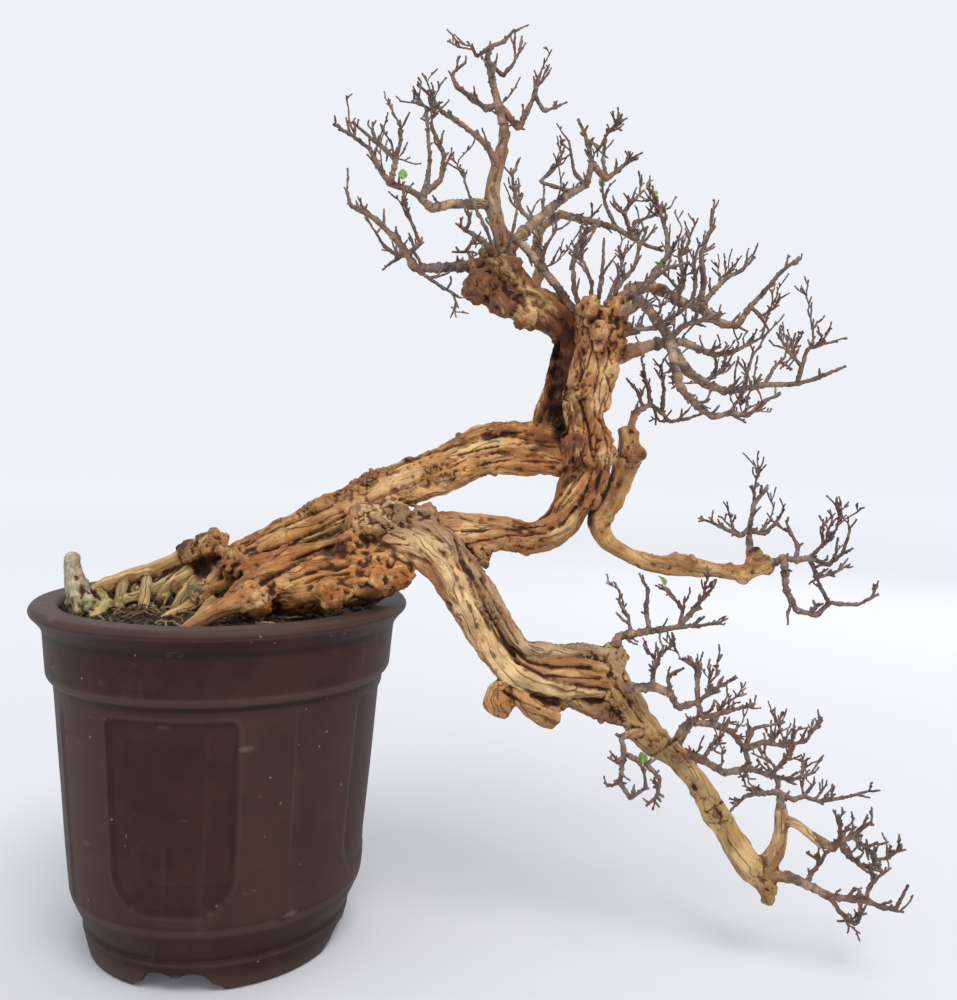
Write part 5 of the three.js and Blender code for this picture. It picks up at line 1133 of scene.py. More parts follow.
def burlKnobs(chance):      # a ball for each burl, covered in small knobs, and balls that round limb ends
    points, sizes = [], []
    for across, down, away, radius in burls + footBurls:
        centre, size = spot(across, down, away), radius * reach(away)
        points.append(centre)
        sizes.append(size * 0.9)
        for _ in range(int(10 + size * 1.6)):
            direction = unit(chance.normal(size=3))
            points.append(centre + direction * size * chance.uniform(0.78, 0.98))
            sizes.append(min(3.6, size * chance.uniform(0.16, 0.34)))
    for name in ("paleStump", "cascadeTail", "surfaceRoot", "cascadeFork", "forkArm", "sideStrand", "apexStem"):
        across, down, away, radius = limbs[name][1][-1]
        points.append(spot(across, down, away))
        sizes.append(radius * reach(away) * 0.96)
    return points, sizes


def limbPlace(co, lines):      # which limb each point lies on, and its place along and across it
    far = np.full((len(co), len(lines)), 9.0)
    best = np.full(len(co), 9.0)
    grain, radius = np.zeros((len(co), 3)), np.full(len(co), 5.0)
    for k, line in enumerate(lines):
        reachOut = line["radius"].max() * 2.2 + 3
        low, high = line["points"].min(0) - reachOut, line["points"].max(0) + reachOut
        near = np.flatnonzero(((co > low) & (co < high)).all(axis=1))
        for part in np.array_split(near, max(1, len(near) // 20000)):
            if not len(part):
                continue
            gap = np.linalg.norm(co[part][:, None, :] - line["points"][None], axis=2) / line["radius"]
            at = gap.argmin(axis=1)
            offset = co[part] - line["points"][at]
            run = (offset * line["tangent"][at]).sum(axis=1)
            flat = offset - run[:, None] * line["tangent"][at]
            isEnd = ((at == 0) & (run < 0)) | ((at == len(line["along"]) - 1) & (run > 0))
            wide = np.linalg.norm(np.where(isEnd[:, None], offset, flat), axis=1) / line["radius"][at]
            far[part, k] = wide
            closer = wide < best[part]
            mine = part[closer]
            best[mine] = wide[closer]
            s = line["along"][at][closer] + run[closer]
            u = (flat * line["side"][at]).sum(axis=1)[closer]
            w = (flat * line["other"][at]).sum(axis=1)[closer]
            turn = -line["look"][1] * s
            grain[mine] = np.c_[s + k * 41.0, u * np.cos(turn) - w * np.sin(turn) + k * 7.0,
                                u * np.sin(turn) + w * np.cos(turn)]
            radius[mine] = line["radius"][at][closer]
    order = np.sort(far, axis=1)
    return {"far": far, "seam": ease(order[:, 1] - order[:, 0], 0.03, 0.3), "grain": grain, "radius": radius,
            "picture": onPicture(co), "names": [line["name"] for line in lines],
            "ownBark": np.array([line["look"][3] for line in lines])[far.argmin(axis=1)],
            "ragged": 1 + 0.3 * layered(co / 5.5, 31, 3) + 0.75 * layered(grain / [22, 5, 5], 32, 3)}


def cells(p, seed):      # distance to the nearest and second nearest of scattered points
    cell = np.floor(p).astype(np.int64)
    first, second = np.full(len(p), 9.0), np.full(len(p), 9.0)
    for step in np.ndindex(3, 3, 3):
        at = [cell[:, n] + step[n] - 1 for n in range(3)]
        point = np.c_[tuple(base + 0.5 + 0.45 * lattice(*at, seed + n) for n, base in enumerate(at))]
        gap = np.linalg.norm(p - point, axis=1)
        second = np.minimum(second, np.maximum(first, gap))
        first = np.minimum(first, gap)
    return first, second


def lineGap(picture, line):      # how far points of the picture are from a drawn line
    gap = np.full(len(picture), 1e9)
    for a, b in zip(line[:-1], line[1:]):
        a, b = np.array(a, float), np.array(b, float)
        t = np.clip(((picture - a) @ (b - a)) / ((b - a) @ (b - a)), 0, 1)
        gap = np.minimum(gap, np.linalg.norm(picture - a - t[:, None] * (b - a), axis=1))
    return gap


def pictureGap(picture, across, down):
    return np.hypot(picture[:, 0] - across, picture[:, 1] - down)


def burlShare(co, picture):
    share = np.zeros(len(co))
    for across, down, away, radius in burls + footBurls:
        gap = np.linalg.norm(co - spot(across, down, away), axis=1) / (radius * reach(away))
        share = np.maximum(share, ease(gap, 1.55, 1.0))
    front = co[:, 1] < 12
    for across, down, spread, _, size in knots:
        gap = pictureGap(picture, across, down) / (spread + size)
        share = np.maximum(share, 0.7 * ease(gap, 1.2, 0.8) * front)
    return share


def painted(kind, here):      # how strongly a kind of painted mark lies on each point
    share = np.zeros(len(here["far"]))
    for across, down, radius, strength, *owner in marks[kind]:
        gap = pictureGap(here["picture"], across, down) / (radius * here["ragged"])
        part = strength * ease(gap, 1.15, 0.45)
        if owner:
            part = part * ease(here["far"][:, here["names"].index(owner[0])], 1.5, 1.1)
        share = np.maximum(share, part)
    return share


def barkShare(co, here):      # painted bark, and the patches that a limb has of itself
    return np.maximum(painted("bark", here), ease(layered(co / 24, 41, 2), 0.25, 0.6) * here["ownBark"] * 2)


def carveWood(piece, lines):
    co, facing = fromScene(places(piece)), normals(piece)
    here = limbPlace(co, lines)
    picture, grain = here["picture"], here["grain"]
    big = ease(here["radius"], 2.5, 11.0)
    burl = burlShare(co, picture)
    calm = here["seam"] * (1 - burl) * (1 - 0.75 * painted("bare", here))
    bark = barkShare(co, here)
    wander = grain + np.c_[tuple(2.2 * k * layered(co / 26, 33 + k, 2) for k in (0, 1, 1))]
    fibre = np.abs(layered(wander / [110, 8, 8], 3, 2)) ** 0.75      # round ridges with narrow creases between
    crackLine = np.abs(noiseAt(wander / [140, 10, 10], 9))
    first, second = cells(co / 3.6, 5)
    round1, _ = cells(co / 4.6, 6)
    hole, _ = cells(co / 6.5, 8)
    height = wood["lump"] * big * layered(co / 15, 21, 2)
    height += wood["bump"] * (0.25 + 0.75 * big) * here["seam"] * layered(co / 6.5, 22, 2)
    height += wood["fibre"] * big * calm * (fibre - 0.35)
    cracked = ease(layered(co / 30, 51, 2), -0.05, 0.3)
    height -= wood["crack"] * big * calm * ease(crackLine, 0.09, 0.0) * cracked
    height += wood["scale"] * bark * (ease(second - first, 0.02, 0.35) - 0.45) * (0.35 + 0.65 * big)
    height += wood["knob"] * burl * (0.60 - round1).clip(-0.16, 1) * (0.4 + 0.6 * big)
    height -= wood["pit"] * burl * ease(hole, 0.30, 0.14)
    front = ease(-facing[:, 1], -0.1, 0.35)
    for depth, half, line in splits:
        height -= depth * np.exp(-(lineGap(picture, line) * reach(co[:, 1]) / half) ** 2) * front
    push = np.zeros(len(co))
    for across, down, radius, depth in hollows:
        push = np.maximum(push, depth * ease(pictureGap(picture, across, down) / radius, 1.25, 0.35))
    co += facing * height[:, None]
    co[:, 1] += push * front
    move(piece, toScene(aboveBed(co)))


# The pot's rim and the soil, in mm, which the wood keeps out of
bed = {"top": 219.5, "low": 205, "inner": 100.6, "lip": 117.5, "outer": 121.2, "soil": 203}


def aboveBed(co):      # wood rests on the pot's rim, and ends a little under the soil
    out = co.copy()
    away = np.hypot(co[:, 0], co[:, 1])
    over = (co[:, 2] < bed["top"]) & (away > bed["inner"]) & (away < bed["outer"])
    onRim = over & (co[:, 2] > bed["low"])
    outward = onRim & (away > bed["lip"]) & (bed["outer"] - away < bed["top"] - co[:, 2])
    out[onRim & ~outward, 2] = bed["top"]
    out[(away <= bed["inner"]) & (co[:, 2] < bed["soil"]), 2] = bed["soil"]
    pushed = outward | (over & (co[:, 2] <= bed["low"]))
    out[pushed, :2] *= (bed["outer"] / away[pushed])[:, None]
    return out


def paintWood(piece, lines):
    co = fromScene(places(piece))
    here = limbPlace(co, lines)
    share = np.exp(-9.0 * (here["far"] + 0.10 * layered(co / 6, 61, 2)[:, None]) ** 2)
    share /= share.sum(axis=1)[:, None] + 1e-12
    tone = share @ np.array([line["look"][2] for line in lines], float)
    tone *= (1 + 0.09 * layered(co / 22, 71, 3) + 0.20 * layered(here["grain"] / [80, 9, 9], 73, 3))[:, None]
    for kind, (colour, strength) in markLooks.items():
        tone = blend(tone, colour, painted(kind, here)[:, None] * strength)
    # Painted shade and highlight: places that curvature at three scales finds hollow are darkened as shade
    # would darken them, and convex places get negative values, which the look paints as a highlight.
    fine, broad, deep = (curvature(piece, rounds) for rounds in (3, 20, 70))
    knobby = burlShare(co, here["picture"])
    shadeAndHighlight = np.clip(-(broad / 0.60) * (0.38 + 0.24 * knobby) - (deep / 2.2) * 0.42, -1, 0.64 - 0.10 * knobby)
    shadeAndHighlight = np.clip(shadeAndHighlight - (fine / 0.10) * (0.12 + 0.16 * knobby), -1, 0.90)
    shadeAndHighlight *= 1 - 0.45 * painted("bare", here)
    front = ease(-normals(piece)[:, 1], -0.1, 0.35)
    # Painted shade along each split's groove, on faces toward the front.
    for depth, half, line in splits:
        if depth > 0:
            gap = lineGap(here["picture"], line) * reach(co[:, 1]) / (half * 0.75)
            shadeAndHighlight = np.maximum(shadeAndHighlight, min(0.85, 0.2 + 0.2 * depth) * np.exp(-gap ** 2) * front)
    # The painted-shadow marks join the painted shade.
    shadeAndHighlight = np.maximum(shadeAndHighlight, painted("paintedShadow", here))
    bark = np.clip(barkShare(co, here), 0, 1) * here["seam"]
    storeTone(piece, tone)
    store(piece, "grain", "FLOAT_VECTOR", here["grain"])
    # The first channel carries the painted shade and highlight.
    store(piece, "shadingAndMarks", "FLOAT_VECTOR", np.c_[shadeAndHighlight, bark, knobby])


def buildWood(lines):
    chance = np.random.default_rng(5)
    tubes = newTubes("trunk_strands", 10)
    for line in lines:
        addStrands(tubes, line, chance)
    body = tubesToMesh(tubes)
    bpy.ops.mesh.primitive_ico_sphere_add(subdivisions=2, radius=1)
    ball = bpy.context.object
    points, sizes = burlKnobs(chance)
    co = fromScene(places(body))      # small knots where the bark lies
    rough = painted("bark", limbPlace(co, lines))
    for k in chance.choice(len(co), wood["barkKnobs"], p=rough / rough.sum()):
        points.append(co[k])
        sizes.append(chance.uniform(1.0, 2.3))
    knobs = scattered("burl_knobs", ball, points, sizes, 12, 0.12)
    pick(body, knobs)
    bpy.ops.object.join()
    bpy.context.view_layer.update()
    points, sizes = surfaceKnots(chance, body)
    knobs = scattered("surface_knots", ball, points, sizes, 13, 0.15)
    bpy.data.objects.remove(ball)
    pick(body, knobs, surfaceRibs(chance, body))
    bpy.ops.object.join()
    body.name = "tree_trunk"
    finishWith(body, "REMESH", mode="VOXEL", voxel_size=wood["voxel"] / 1000)
    finishWith(body, "SMOOTH", factor=0.5, iterations=wood["settle"])
    carveWood(body, lines)
    triangles = sum(len(f.vertices) - 2 for f in body.data.polygons)
    if triangles > wood["triangles"]:
        finishWith(body, "DECIMATE", ratio=wood["triangles"] / triangles)
    paintWood(body, lines)
    dress(body, ["trunk"], oldWoodLook())


# Twigs, grown by the same seeded rule as the solids, so that they stand where the solids do

class Room:      # every stretch that is taken: from, to, radius, owner, joint
    def __init__(self, most=9000):
        self.start, self.end = np.zeros((most, 3)), np.zeros((most, 3))
        self.radius, self.owner, self.joint = np.zeros(most), np.zeros(most, int), np.zeros(most, int)
        self.count = 0

    def take(self, start, end, radius, owner, joint):
        if np.linalg.norm(end - start) <= 1e-6:
            return
        k = self.count
        self.start[k], self.end[k], self.radius[k] = start, end, radius
        self.owner[k], self.joint[k] = owner, joint
        self.count += 1

    def gaps(self, start, end):
        n = self.count
        p2, d2, d1 = self.start[:n], self.end[:n] - self.start[:n], end - start
        r = start - p2
        a, e, f, c, b = d1 @ d1, (d2 * d2).sum(1), (d2 * r).sum(1), r @ d1, d2 @ d1
        denominator = a * e - b * b
        safe = np.where(denominator > 1e-9, denominator, 1)
        s = np.where(denominator > 1e-9, np.clip((b * f - c * e) / safe, 0, 1), 0)
        t = (b * s + f) / e
        past = (t < 0) | (t > 1)
        t = np.clip(t, 0, 1)
        s = np.where(past, np.clip((b * t - c) / a, 0, 1), s)
        return np.linalg.norm(start + s[:, None] * d1 - p2 - t[:, None] * d2, axis=1)

    def isClear(self, start, end, radius, owner, joint):
        n = self.count
        own = self.owner[:n] == owner
        needed = radius + self.radius[:n] + np.where(own, twigRule["ownGap"], twigRule["otherGap"])
        return bool(((self.gaps(start, end) > needed) | (own & (self.joint[:n] == joint))).all())


# Angles are in degrees and lengths in mm. A spray's first stem starts a gap past its stub, in line with it.
twigRule = {"lean": 50, "leanSpread": 26, "lift": 0.28, "bend": 0.32, "thinnest": 0.55, "thickest": 1.15,
            "tries": 7, "onStems": 0.62, "extra": 7.0, "fineLean": 40, "fineEnd": 0.46, "spurs": 8.0,
            "spurEnd": 0.55, "taper": 0.8, "touch": 0.6, "swell": 1.14, "ownGap": 0.5, "otherGap": 1.0,
            "limbRoom": 1.12, "limbGap": 0.6, "burlRoom": 1.16, "stubGap": 0.35, "inLine": 2.35, "onTwigs": 0.7}


def growTwig(base, heading, length, roll, room=None, owner=0, joint=0, reaches=2):
    middle = twigRule["lean"] if room else twigRule["fineLean"]
    for _ in range(twigRule["tries"]):
        turn = roll() * 2 * math.pi
        lean = math.radians(middle + (roll() - 0.5) * twigRule["leanSpread"])
        side = anySide(heading)
        other = np.cross(heading, side)
        direction = (heading * math.cos(lean) + side * math.sin(lean) * math.cos(turn)
                     + other * math.sin(lean) * math.sin(turn))
        direction[2] += twigRule["lift"]
        direction = unit(direction)
        size = length * (0.55 + 0.9 * roll())
        points = [base.copy()]
        for k in range(reaches):
            bend = np.array([roll() - 0.5, roll() - 0.5, roll() - 0.3]) * twigRule["bend"] * 2
            direction = unit(direction + bend)
            points.append(points[k] + direction * size / reaches)
        if room is None:
            if isInside(points[-1]):
                return points
        elif all(room.isClear(points[k], points[k + 1], twigRule["thickest"], owner, -1 if k else joint)
                 for k in range(2)):
            return points
    return None


def isInside(point):      # finer twigs stay in the box of the solids
    place = toScene(point)
    return all(cadLow[k] + 0.001 < place[k] < cadHigh[k] - 0.001 for k in range(3))


def hostByLength(hosts, roll):      # a long host is chosen more often than a short one
    sizes = [sum(np.linalg.norm(np.diff(np.array(host["points"]), axis=0), axis=1)) for host in hosts]
    mark = roll() * sum(sizes)
    for host, size in zip(hosts, sizes):
        mark -= size
        if mark <= 0:
            return host
    return hosts[-1]


def hostPlace(host, at):
    last = len(host["points"]) - 1
    index = min(last - 1, int(at))
    start, end = host["points"][index], host["points"][index + 1]
    wide = host["thick"][0] + (host["thick"][1] - host["thick"][0]) * at / last
    return start + (end - start) * (at - index), unit(end - start), wide


def growSpray(spray, owner, room):
    roll = dice(spray["seed"])
    root, tip = spot(*spray["root"]), spot(*spray["tip"])
    direction = unit(tip - root)
    shoots = []

    def keep(points, thick, joint):
        last = len(points) - 1
        for k in range(last):
            wide = thick[0] + (thick[1] - thick[0]) * k / last
            room.take(points[k], points[k + 1], wide, owner, joint if k == 0 else -2 - len(shoots))
        shoots.append({"points": points, "thick": thick})

    for on, at, thick, thin, path in spray["stems"]:
        if on is None:
            base = [tip + direction * twigRule["stubGap"], tip + direction * twigRule["inLine"]]
        else:
            host = shoots[on]["points"]
            base = [host[min(len(host) - 1, at + (2 if on == 0 else 1))]]
        keep(base + [spot(*mark) for mark in path], (thick, thin), -1)
    stems = list(shoots)
    for k in range(spray["twigs"]):
        onStems = k < spray["twigs"] * twigRule["onStems"]
        hosts = stems if onStems else shoots
        host = hosts[int(roll() * len(hosts))]
        first = 1 if onStems and host is shoots[0] else 0
        at = first + 0.35 + roll() * (len(host["points"]) - 1 - first - 0.35)
        base, heading, wide = hostPlace(host, at)
        n = room.count
        gaps = room.gaps(base, base + heading * 0.1)
        marked = np.flatnonzero((room.owner[:n] == owner) & (gaps < twigRule["touch"]))
        before = room.joint[marked].copy()
        room.joint[marked] = 1000 + k
        length = spray["length"] * (1 if onStems else twigRule["onTwigs"])
        points = growTwig(base, heading, length, roll, room, owner, 1000 + k)
        room.joint[marked] = before
        if points:
            keep(points, (min(twigRule["thickest"], wide * twigRule["taper"]), twigRule["thinnest"]), 1000 + k)
    return shoots


def growAll(lines):
    room = Room()
    for line in lines[:len(limbs)]:
        for k in range(len(line["marks"]) - 1):
            wide = max(line["radii"][k], line["radii"][k + 1]) * twigRule["limbRoom"]
            room.take(line["marks"][k], line["marks"][k + 1], wide + twigRule["limbGap"], 0, 0)
    for across, down, away, radius in burls:
        centre = spot(across, down, away)
        room.take(centre, centre + [0, 0, 0.01], radius * reach(away) * twigRule["burlRoom"], 0, 0)
    for line in lines[len(limbs):len(limbs) + len(sprays)]:
        room.take(line["marks"][0], line["marks"][1], line["radii"][0], 0, 0)
    return [growSpray(spray, k + 1, room) for k, spray in enumerate(sprays)]


# How much fuller than the others some sprays are grown, and thin stems that rise from the burls beside a spray:
# two radii in mm, then the line on the picture
bushy = {"crown_right": 1.2, "shoulder": 1.5, "right_top": 2.0, "right_crossing": 2.3, "right_low": 2.0,
         "under_crown": 1.4, "elbow_low": 1.25, "tail_high": 1.3, "tail_middle": 1.3, "fork_top": 1.2,
         "inner_left": 1.5, "middle_top": 1.3}
wildStems = {
    "shoulder": [
        (1.5, 0.7, [(596, 316, 0), (600, 290, -6), (603, 262, -6), (604, 238, -4)]),
        (1.7, 0.7, [(584, 318, 0), (574, 290, -8), (573, 262, -12), (588, 240, -16), (600, 222, -20)]),
        (1.3, 0.6, [(590, 316, -2), (592, 284, -16), (584, 262, -22), (566, 246, -26)]),
        (2.2, 2.6, [(505, 232, 6), (524, 246, -4), (542, 268, -8), (560, 290, -6), (572, 310, 0)]),
        (1.2, 0.6, [(540, 268, -8), (546, 246, -16), (556, 230, -20), (556, 214, -22)]),
    ],
    "right_top": [
        (1.7, 0.7, [(606, 318, -4), (618, 286, -18), (634, 268, -24), (640, 246, -28), (648, 226, -30)]),
        (1.8, 0.7, [(614, 322, -8), (634, 296, -26), (652, 280, -32), (668, 268, -36), (690, 262, -38)]),
        (1.4, 0.6, [(602, 314, 8), (612, 290, 16), (622, 266, 24), (618, 246, 30)]),
        (1.6, 0.7, [(690, 306, 20), (696, 286, 10), (694, 262, 2), (700, 242, -4)]),
    ],
    "right_low": [
        (1.8, 0.7, [(612, 342, -8), (634, 330, -26), (656, 328, -34), (680, 312, -40), (700, 296, -42)]),
    ],
    "inner_left": [
        (1.3, 0.6, [(498, 262, -4), (486, 228, -12), (470, 198, -14), (461, 168, -14)]),
        (1.2, 0.6, [(506, 256, -6), (514, 226, -16), (518, 204, -20), (512, 186, -22)]),
        (1.0, 0.6, [(500, 258, -8), (496, 236, -20), (488, 222, -24)]),
    ],
}


def fineTwigs(shoots, spray):      # finer twigs and short spurs, which only the looks carry
    chance = dice(spray["seed"] + 500)
    made = [{"points": [spot(*mark) for mark in path], "thick": (thick, thin)}
            for thick, thin, path in wildStems.get(spray["name"], [])]
    for _ in range(int(spray["twigs"] * twigRule["extra"] * bushy.get(spray["name"], 1))):
        host = hostByLength(shoots + made, chance)
        base, heading, wide = hostPlace(host, 0.5 + chance() * (len(host["points"]) - 1.55))
        length = spray["length"] * (0.3 + 0.6 * chance() ** 1.4)
        points = growTwig(base, heading, length, chance, reaches=3)
        if points:
            made.append({"points": points, "thick": (min(1.0, wide * twigRule["taper"]), twigRule["fineEnd"])})
    return made


def spurs(shoots, spray):
    chance = dice(spray["seed"] + 900)
    made = []
    for _ in range(int(spray["twigs"] * twigRule["spurs"])):
        host = hostByLength(shoots, chance)
        base, heading, wide = hostPlace(host, 0.1 + chance() * (len(host["points"]) - 1.1))
        points = growTwig(base, heading, 1.5 + 2.6 * chance(), chance, reaches=2)
        if points:
            made.append({"points": points, "thick": (min(1.0, wide * twigRule["taper"]), twigRule["spurEnd"])})
    return made


def addShoot(tubes, shoot, chance, records):
    points = np.array(shoot["points"])
    run = np.r_[0, np.cumsum(np.linalg.norm(np.diff(points, axis=0), axis=1))]
    count = max(3, int(run[-1] / 1.5) + 1)
    s = np.linspace(0, run[-1], count)
    path = np.c_[tuple(np.interp(s, run, points[:, k]) for k in range(3))]
    if count > 4:      # corners are eased a little
        path[1:-1] = 0.25 * path[:-2] + 0.5 * path[1:-1] + 0.25 * path[2:]
    thick, thin = shoot["thick"]
    wide = thick + (thin - thick) * np.interp(s, run, np.arange(len(points))) / (len(points) - 1)
    path[1:-1] += 0.16 * np.minimum(1, wide[1:-1, None]) * chance.normal(size=(count - 2, 3))
    joint = np.exp(-(np.abs(s[:, None] - run[1:-1]).min(axis=1) / 1.1) ** 2) if len(points) > 2 else 0
    uneven = 1 + 0.12 * chance.normal(size=count).clip(-1.5, 1.8)
    wide = twigRule["swell"] * wide * uneven * (1 + 0.25 * joint)
    addTube(tubes, path, wide)
    records.append((path, wide, s))


def buildSpray(spray, shoots, twigFinish):
    chance = np.random.default_rng(spray["seed"])
    tubes = newTubes("twigs_" + spray["name"], 6)
    records = []
    grown = shoots + fineTwigs(shoots, spray)
    root, tip = spot(*spray["root"]), spot(*spray["tip"])
    first = dict(shoots[0], points=[tip - unit(tip - root) * 1.5] + list(shoots[0]["points"][1:]))
    for shoot in [first] + grown[1:] + spurs(grown, spray):
        addShoot(tubes, shoot, chance, records)
    piece = tubesToMesh(tubes)
    co = fromScene(places(piece))
    centres = np.concatenate([p for p, _, _ in records])
    near = nearestOf(co, centres)      # the ring that each point belongs to
    wide = np.concatenate([w for _, w, _ in records])[near]
    along = np.concatenate([s + 31 * k for k, (_, _, s) in enumerate(records)])[near]
    old = ease(wide, 0.9, 3.4)[:, None]
    tone = blend(varied((104, 88, 82), 0.3, layered(co / 9, 81, 2)),
                 varied((172, 142, 116), 0.2, layered(co / 11, 85, 2)), old)
    storeTone(piece, blend(tone, (142, 88, 64), ease(layered(co / 14, 83, 2), 0.1, 0.5)[:, None] * 0.35))
    offset = co - centres[near]
    store(piece, "grain", "FLOAT_VECTOR", np.c_[along, offset[:, 0] + offset[:, 1], offset[:, 2]])
    dress(piece, ["spray_" + spray["name"]], twigFinish)


# The pot, turned from one outline: radius, height and corner radius in mm. The first rows are the drain hole
# and the underside, then the outside goes up, over the lip and down the inside.
pot = {
    "outline": [(11, 24, 1), (11, 14, 1), (66, 14, 2), (67.5, 0, 1.5), (80, 0, 2.5), (83.6, 14.5, 1.6),
                (84.4, 17.5, 1.4), (83.4, 21, 1.4), (85.8, 25.5, 2), (88.9, 31.5, 2), (92.8, 40, 3),
                (94.5, 56, 8), (104, 165, 6), (104.9, 171.5, 1.6), (109, 175, 2.4), (111.6, 204, 3),
                (115, 209, 3),
                (119.4, 213.4, 1.4), (120, 216, 1.4), (118, 219, 1.8), (104, 219, 1.8), (102, 217, 1.5),
                (94.5, 172, 6), (84, 50, 8), (80, 29, 5), (75, 24, 4)],
    "fineFrom": 84.5, "fineRow": 1.9, "coarseRow": 9.0, "steps": 352, "turn": -3,
    "panelHalf": 22.3, "panelLow": 50.5, "panelHigh": 164.6, "panelDepth": 1.5, "topCorner": 6.0,
    "bottomCorner": 25.0, "slope": 3.0, "creaseTurn": -4, "creaseRise": 0.9, "creaseHalf": 5.0,
    "wallRadius": 91, "wallFoot": 56, "wallLean": 0.085, "sharp": 50, "archHalf": 28, "archHeight": 12.5,
}


def roundedOutline(rows):      # the outline with each corner rounded, as points a little apart
    out = []
    for k, (radius, height, corner) in enumerate(rows):
        here = np.array([radius, height], float)
        before = np.array(rows[k - 1][:2], float) - here
        after = np.array(rows[(k + 1) % len(rows)][:2], float) - here
        cut = min(corner, 0.45 * np.linalg.norm(before), 0.45 * np.linalg.norm(after))
        start, end = here + unit(before) * cut, here + unit(after) * cut
        for t in (0, 0.25, 0.5, 0.75, 1):
            out.append(start * (1 - t) ** 2 + here * 2 * t * (1 - t) + end * t ** 2)
    dense = [out[0]]
    for point in out[1:] + [out[0]]:
        gap = np.linalg.norm(point - dense[-1])
        isOutside = min(point[0], dense[-1][0]) > pot["fineFrom"] and 30 < point[1] < 219
        count = max(1, int(gap / pot["fineRow" if isOutside else "coarseRow"]))
        start = dense[-1]
        dense += [start + (point - start) * (n + 1) / count for n in range(count)]
    return dense[:-1]


def turned(name, outline, steps):      # draws the outline point by point, then spins it round the axis
    deselectAll()
    bpy.ops.mesh.primitive_plane_add(size=0.01, location=(0, 0, 0))
    piece = bpy.context.object
    piece.name = name
    bpy.ops.object.mode_set(mode="EDIT")
    bpy.ops.mesh.merge(type="CENTER")
    here = toScene([outline[0][0], 0, outline[0][1]])
    bpy.ops.transform.translate(value=tuple(here))
    for point in outline[1:]:
        there = toScene([point[0], 0, point[1]])
        bpy.ops.mesh.extrude_region_move(TRANSFORM_OT_translate={"value": tuple(there - here)})
        here = there
    bpy.ops.mesh.select_all(action="SELECT")
    bpy.ops.mesh.edge_face_add()
    bpy.ops.mesh.delete(type="ONLY_FACE")
    bpy.ops.mesh.select_all(action="SELECT")
    bpy.ops.mesh.spin(steps=steps, angle=2 * math.pi, center=(axisX, 0, 0), axis=(0, 0, 1))
    bpy.ops.mesh.select_all(action="SELECT")
    bpy.ops.mesh.remove_doubles(threshold=0.00001)
    bpy.ops.mesh.normals_make_consistent(inside=False)
    bpy.ops.object.mode_set(mode="OBJECT")
    return piece


def panelDepthAt(co):      # how far inside the edge of its panel each point lies, in mm
    away = np.hypot(co[:, 0], co[:, 1])
    turn = np.degrees(np.arctan2(co[:, 1], co[:, 0])) + 90 - pot["turn"]
    turn = (turn + 45) % 90 - 45
    across = np.radians(np.abs(turn)) * away
    half = math.radians(pot["panelHalf"]) * away
    middle = (pot["panelLow"] + pot["panelHigh"]) / 2
    up = np.abs(co[:, 2] - middle)
    corner = np.where(co[:, 2] > middle, pot["topCorner"], pot["bottomCorner"])
    dx, dz = across - (half - corner), up - ((pot["panelHigh"] - pot["panelLow"]) / 2 - corner)
    outer = np.hypot(np.maximum(dx, 0), np.maximum(dz, 0)) + np.minimum(np.maximum(dx, dz), 0)
    return corner - outer, turn, away


def buildPot():
    piece = turned("round_clay_pot", roundedOutline(pot["outline"]), pot["steps"])
    co, facing = fromScene(places(piece)), normals(piece)
    inside, turn, away = panelDepthAt(co)
    wall = pot["wallRadius"] + (co[:, 2] - pot["wallFoot"]) * pot["wallLean"]
    body = ease(away - wall, -0.5, 0.5) * ease(co[:, 2], 41, 46) * ease(co[:, 2], 171, 167)
    crease = (turn + 90 - pot["creaseTurn"]) % 90 - 45
    rise = pot["creaseRise"] * ease(np.abs(crease) * 1.7, pot["creaseHalf"], 0.0)
    sink = pot["panelDepth"] * ease(inside, 0, pot["slope"])
    rise = rise * ease(inside, -1.0, -6.0) * ease(co[:, 2], 168, 150)
    uneven = layered(co / 55, 91, 2) * 0.35 * ease(co[:, 2], 10, 18)
    move(piece, toScene(co + facing * (body * (rise - sink) + uneven)[:, None]))
    # Painted light for the clay's colour: a shadow band just inside each panel's edge, a highlight line just
    # outside it, a highlight along each crease ridge, and lighter posts outside the panels.
    grooveShadow = body * np.exp(-((inside - pot["slope"] * 0.6) / 1.8) ** 2)
    lip = body * np.exp(-((inside + 1.2) / 1.6) ** 2)
    creaseHighlight = np.exp(-(np.radians(crease) * away / 1.6) ** 2)
    lip += body * ease(inside, -2.0, -6.0) * creaseHighlight * ease(co[:, 2], 50, 90)
    # Curvature gives painted highlight, partly rubbed wear, on convex edges and painted shade in concave ones.
    edge = np.clip(curvature(piece, 6) / 0.16, -1, 1) * (1 - body) + lip * 0.6
    shadingAndMarks = np.c_[edge, grooveShadow, body * ease(inside, 1.0, -0.5)]
    shape = fromScene(places(piece))
    cutArches(piece)
    store(piece, "shadingAndMarks", "FLOAT_VECTOR", shadingAndMarks[nearestOf(fromScene(places(piece)), shape)])
    dress(piece, ["pot"], clayLook())
    piece.data.set_sharp_from_angle(angle=math.radians(pot["sharp"]))


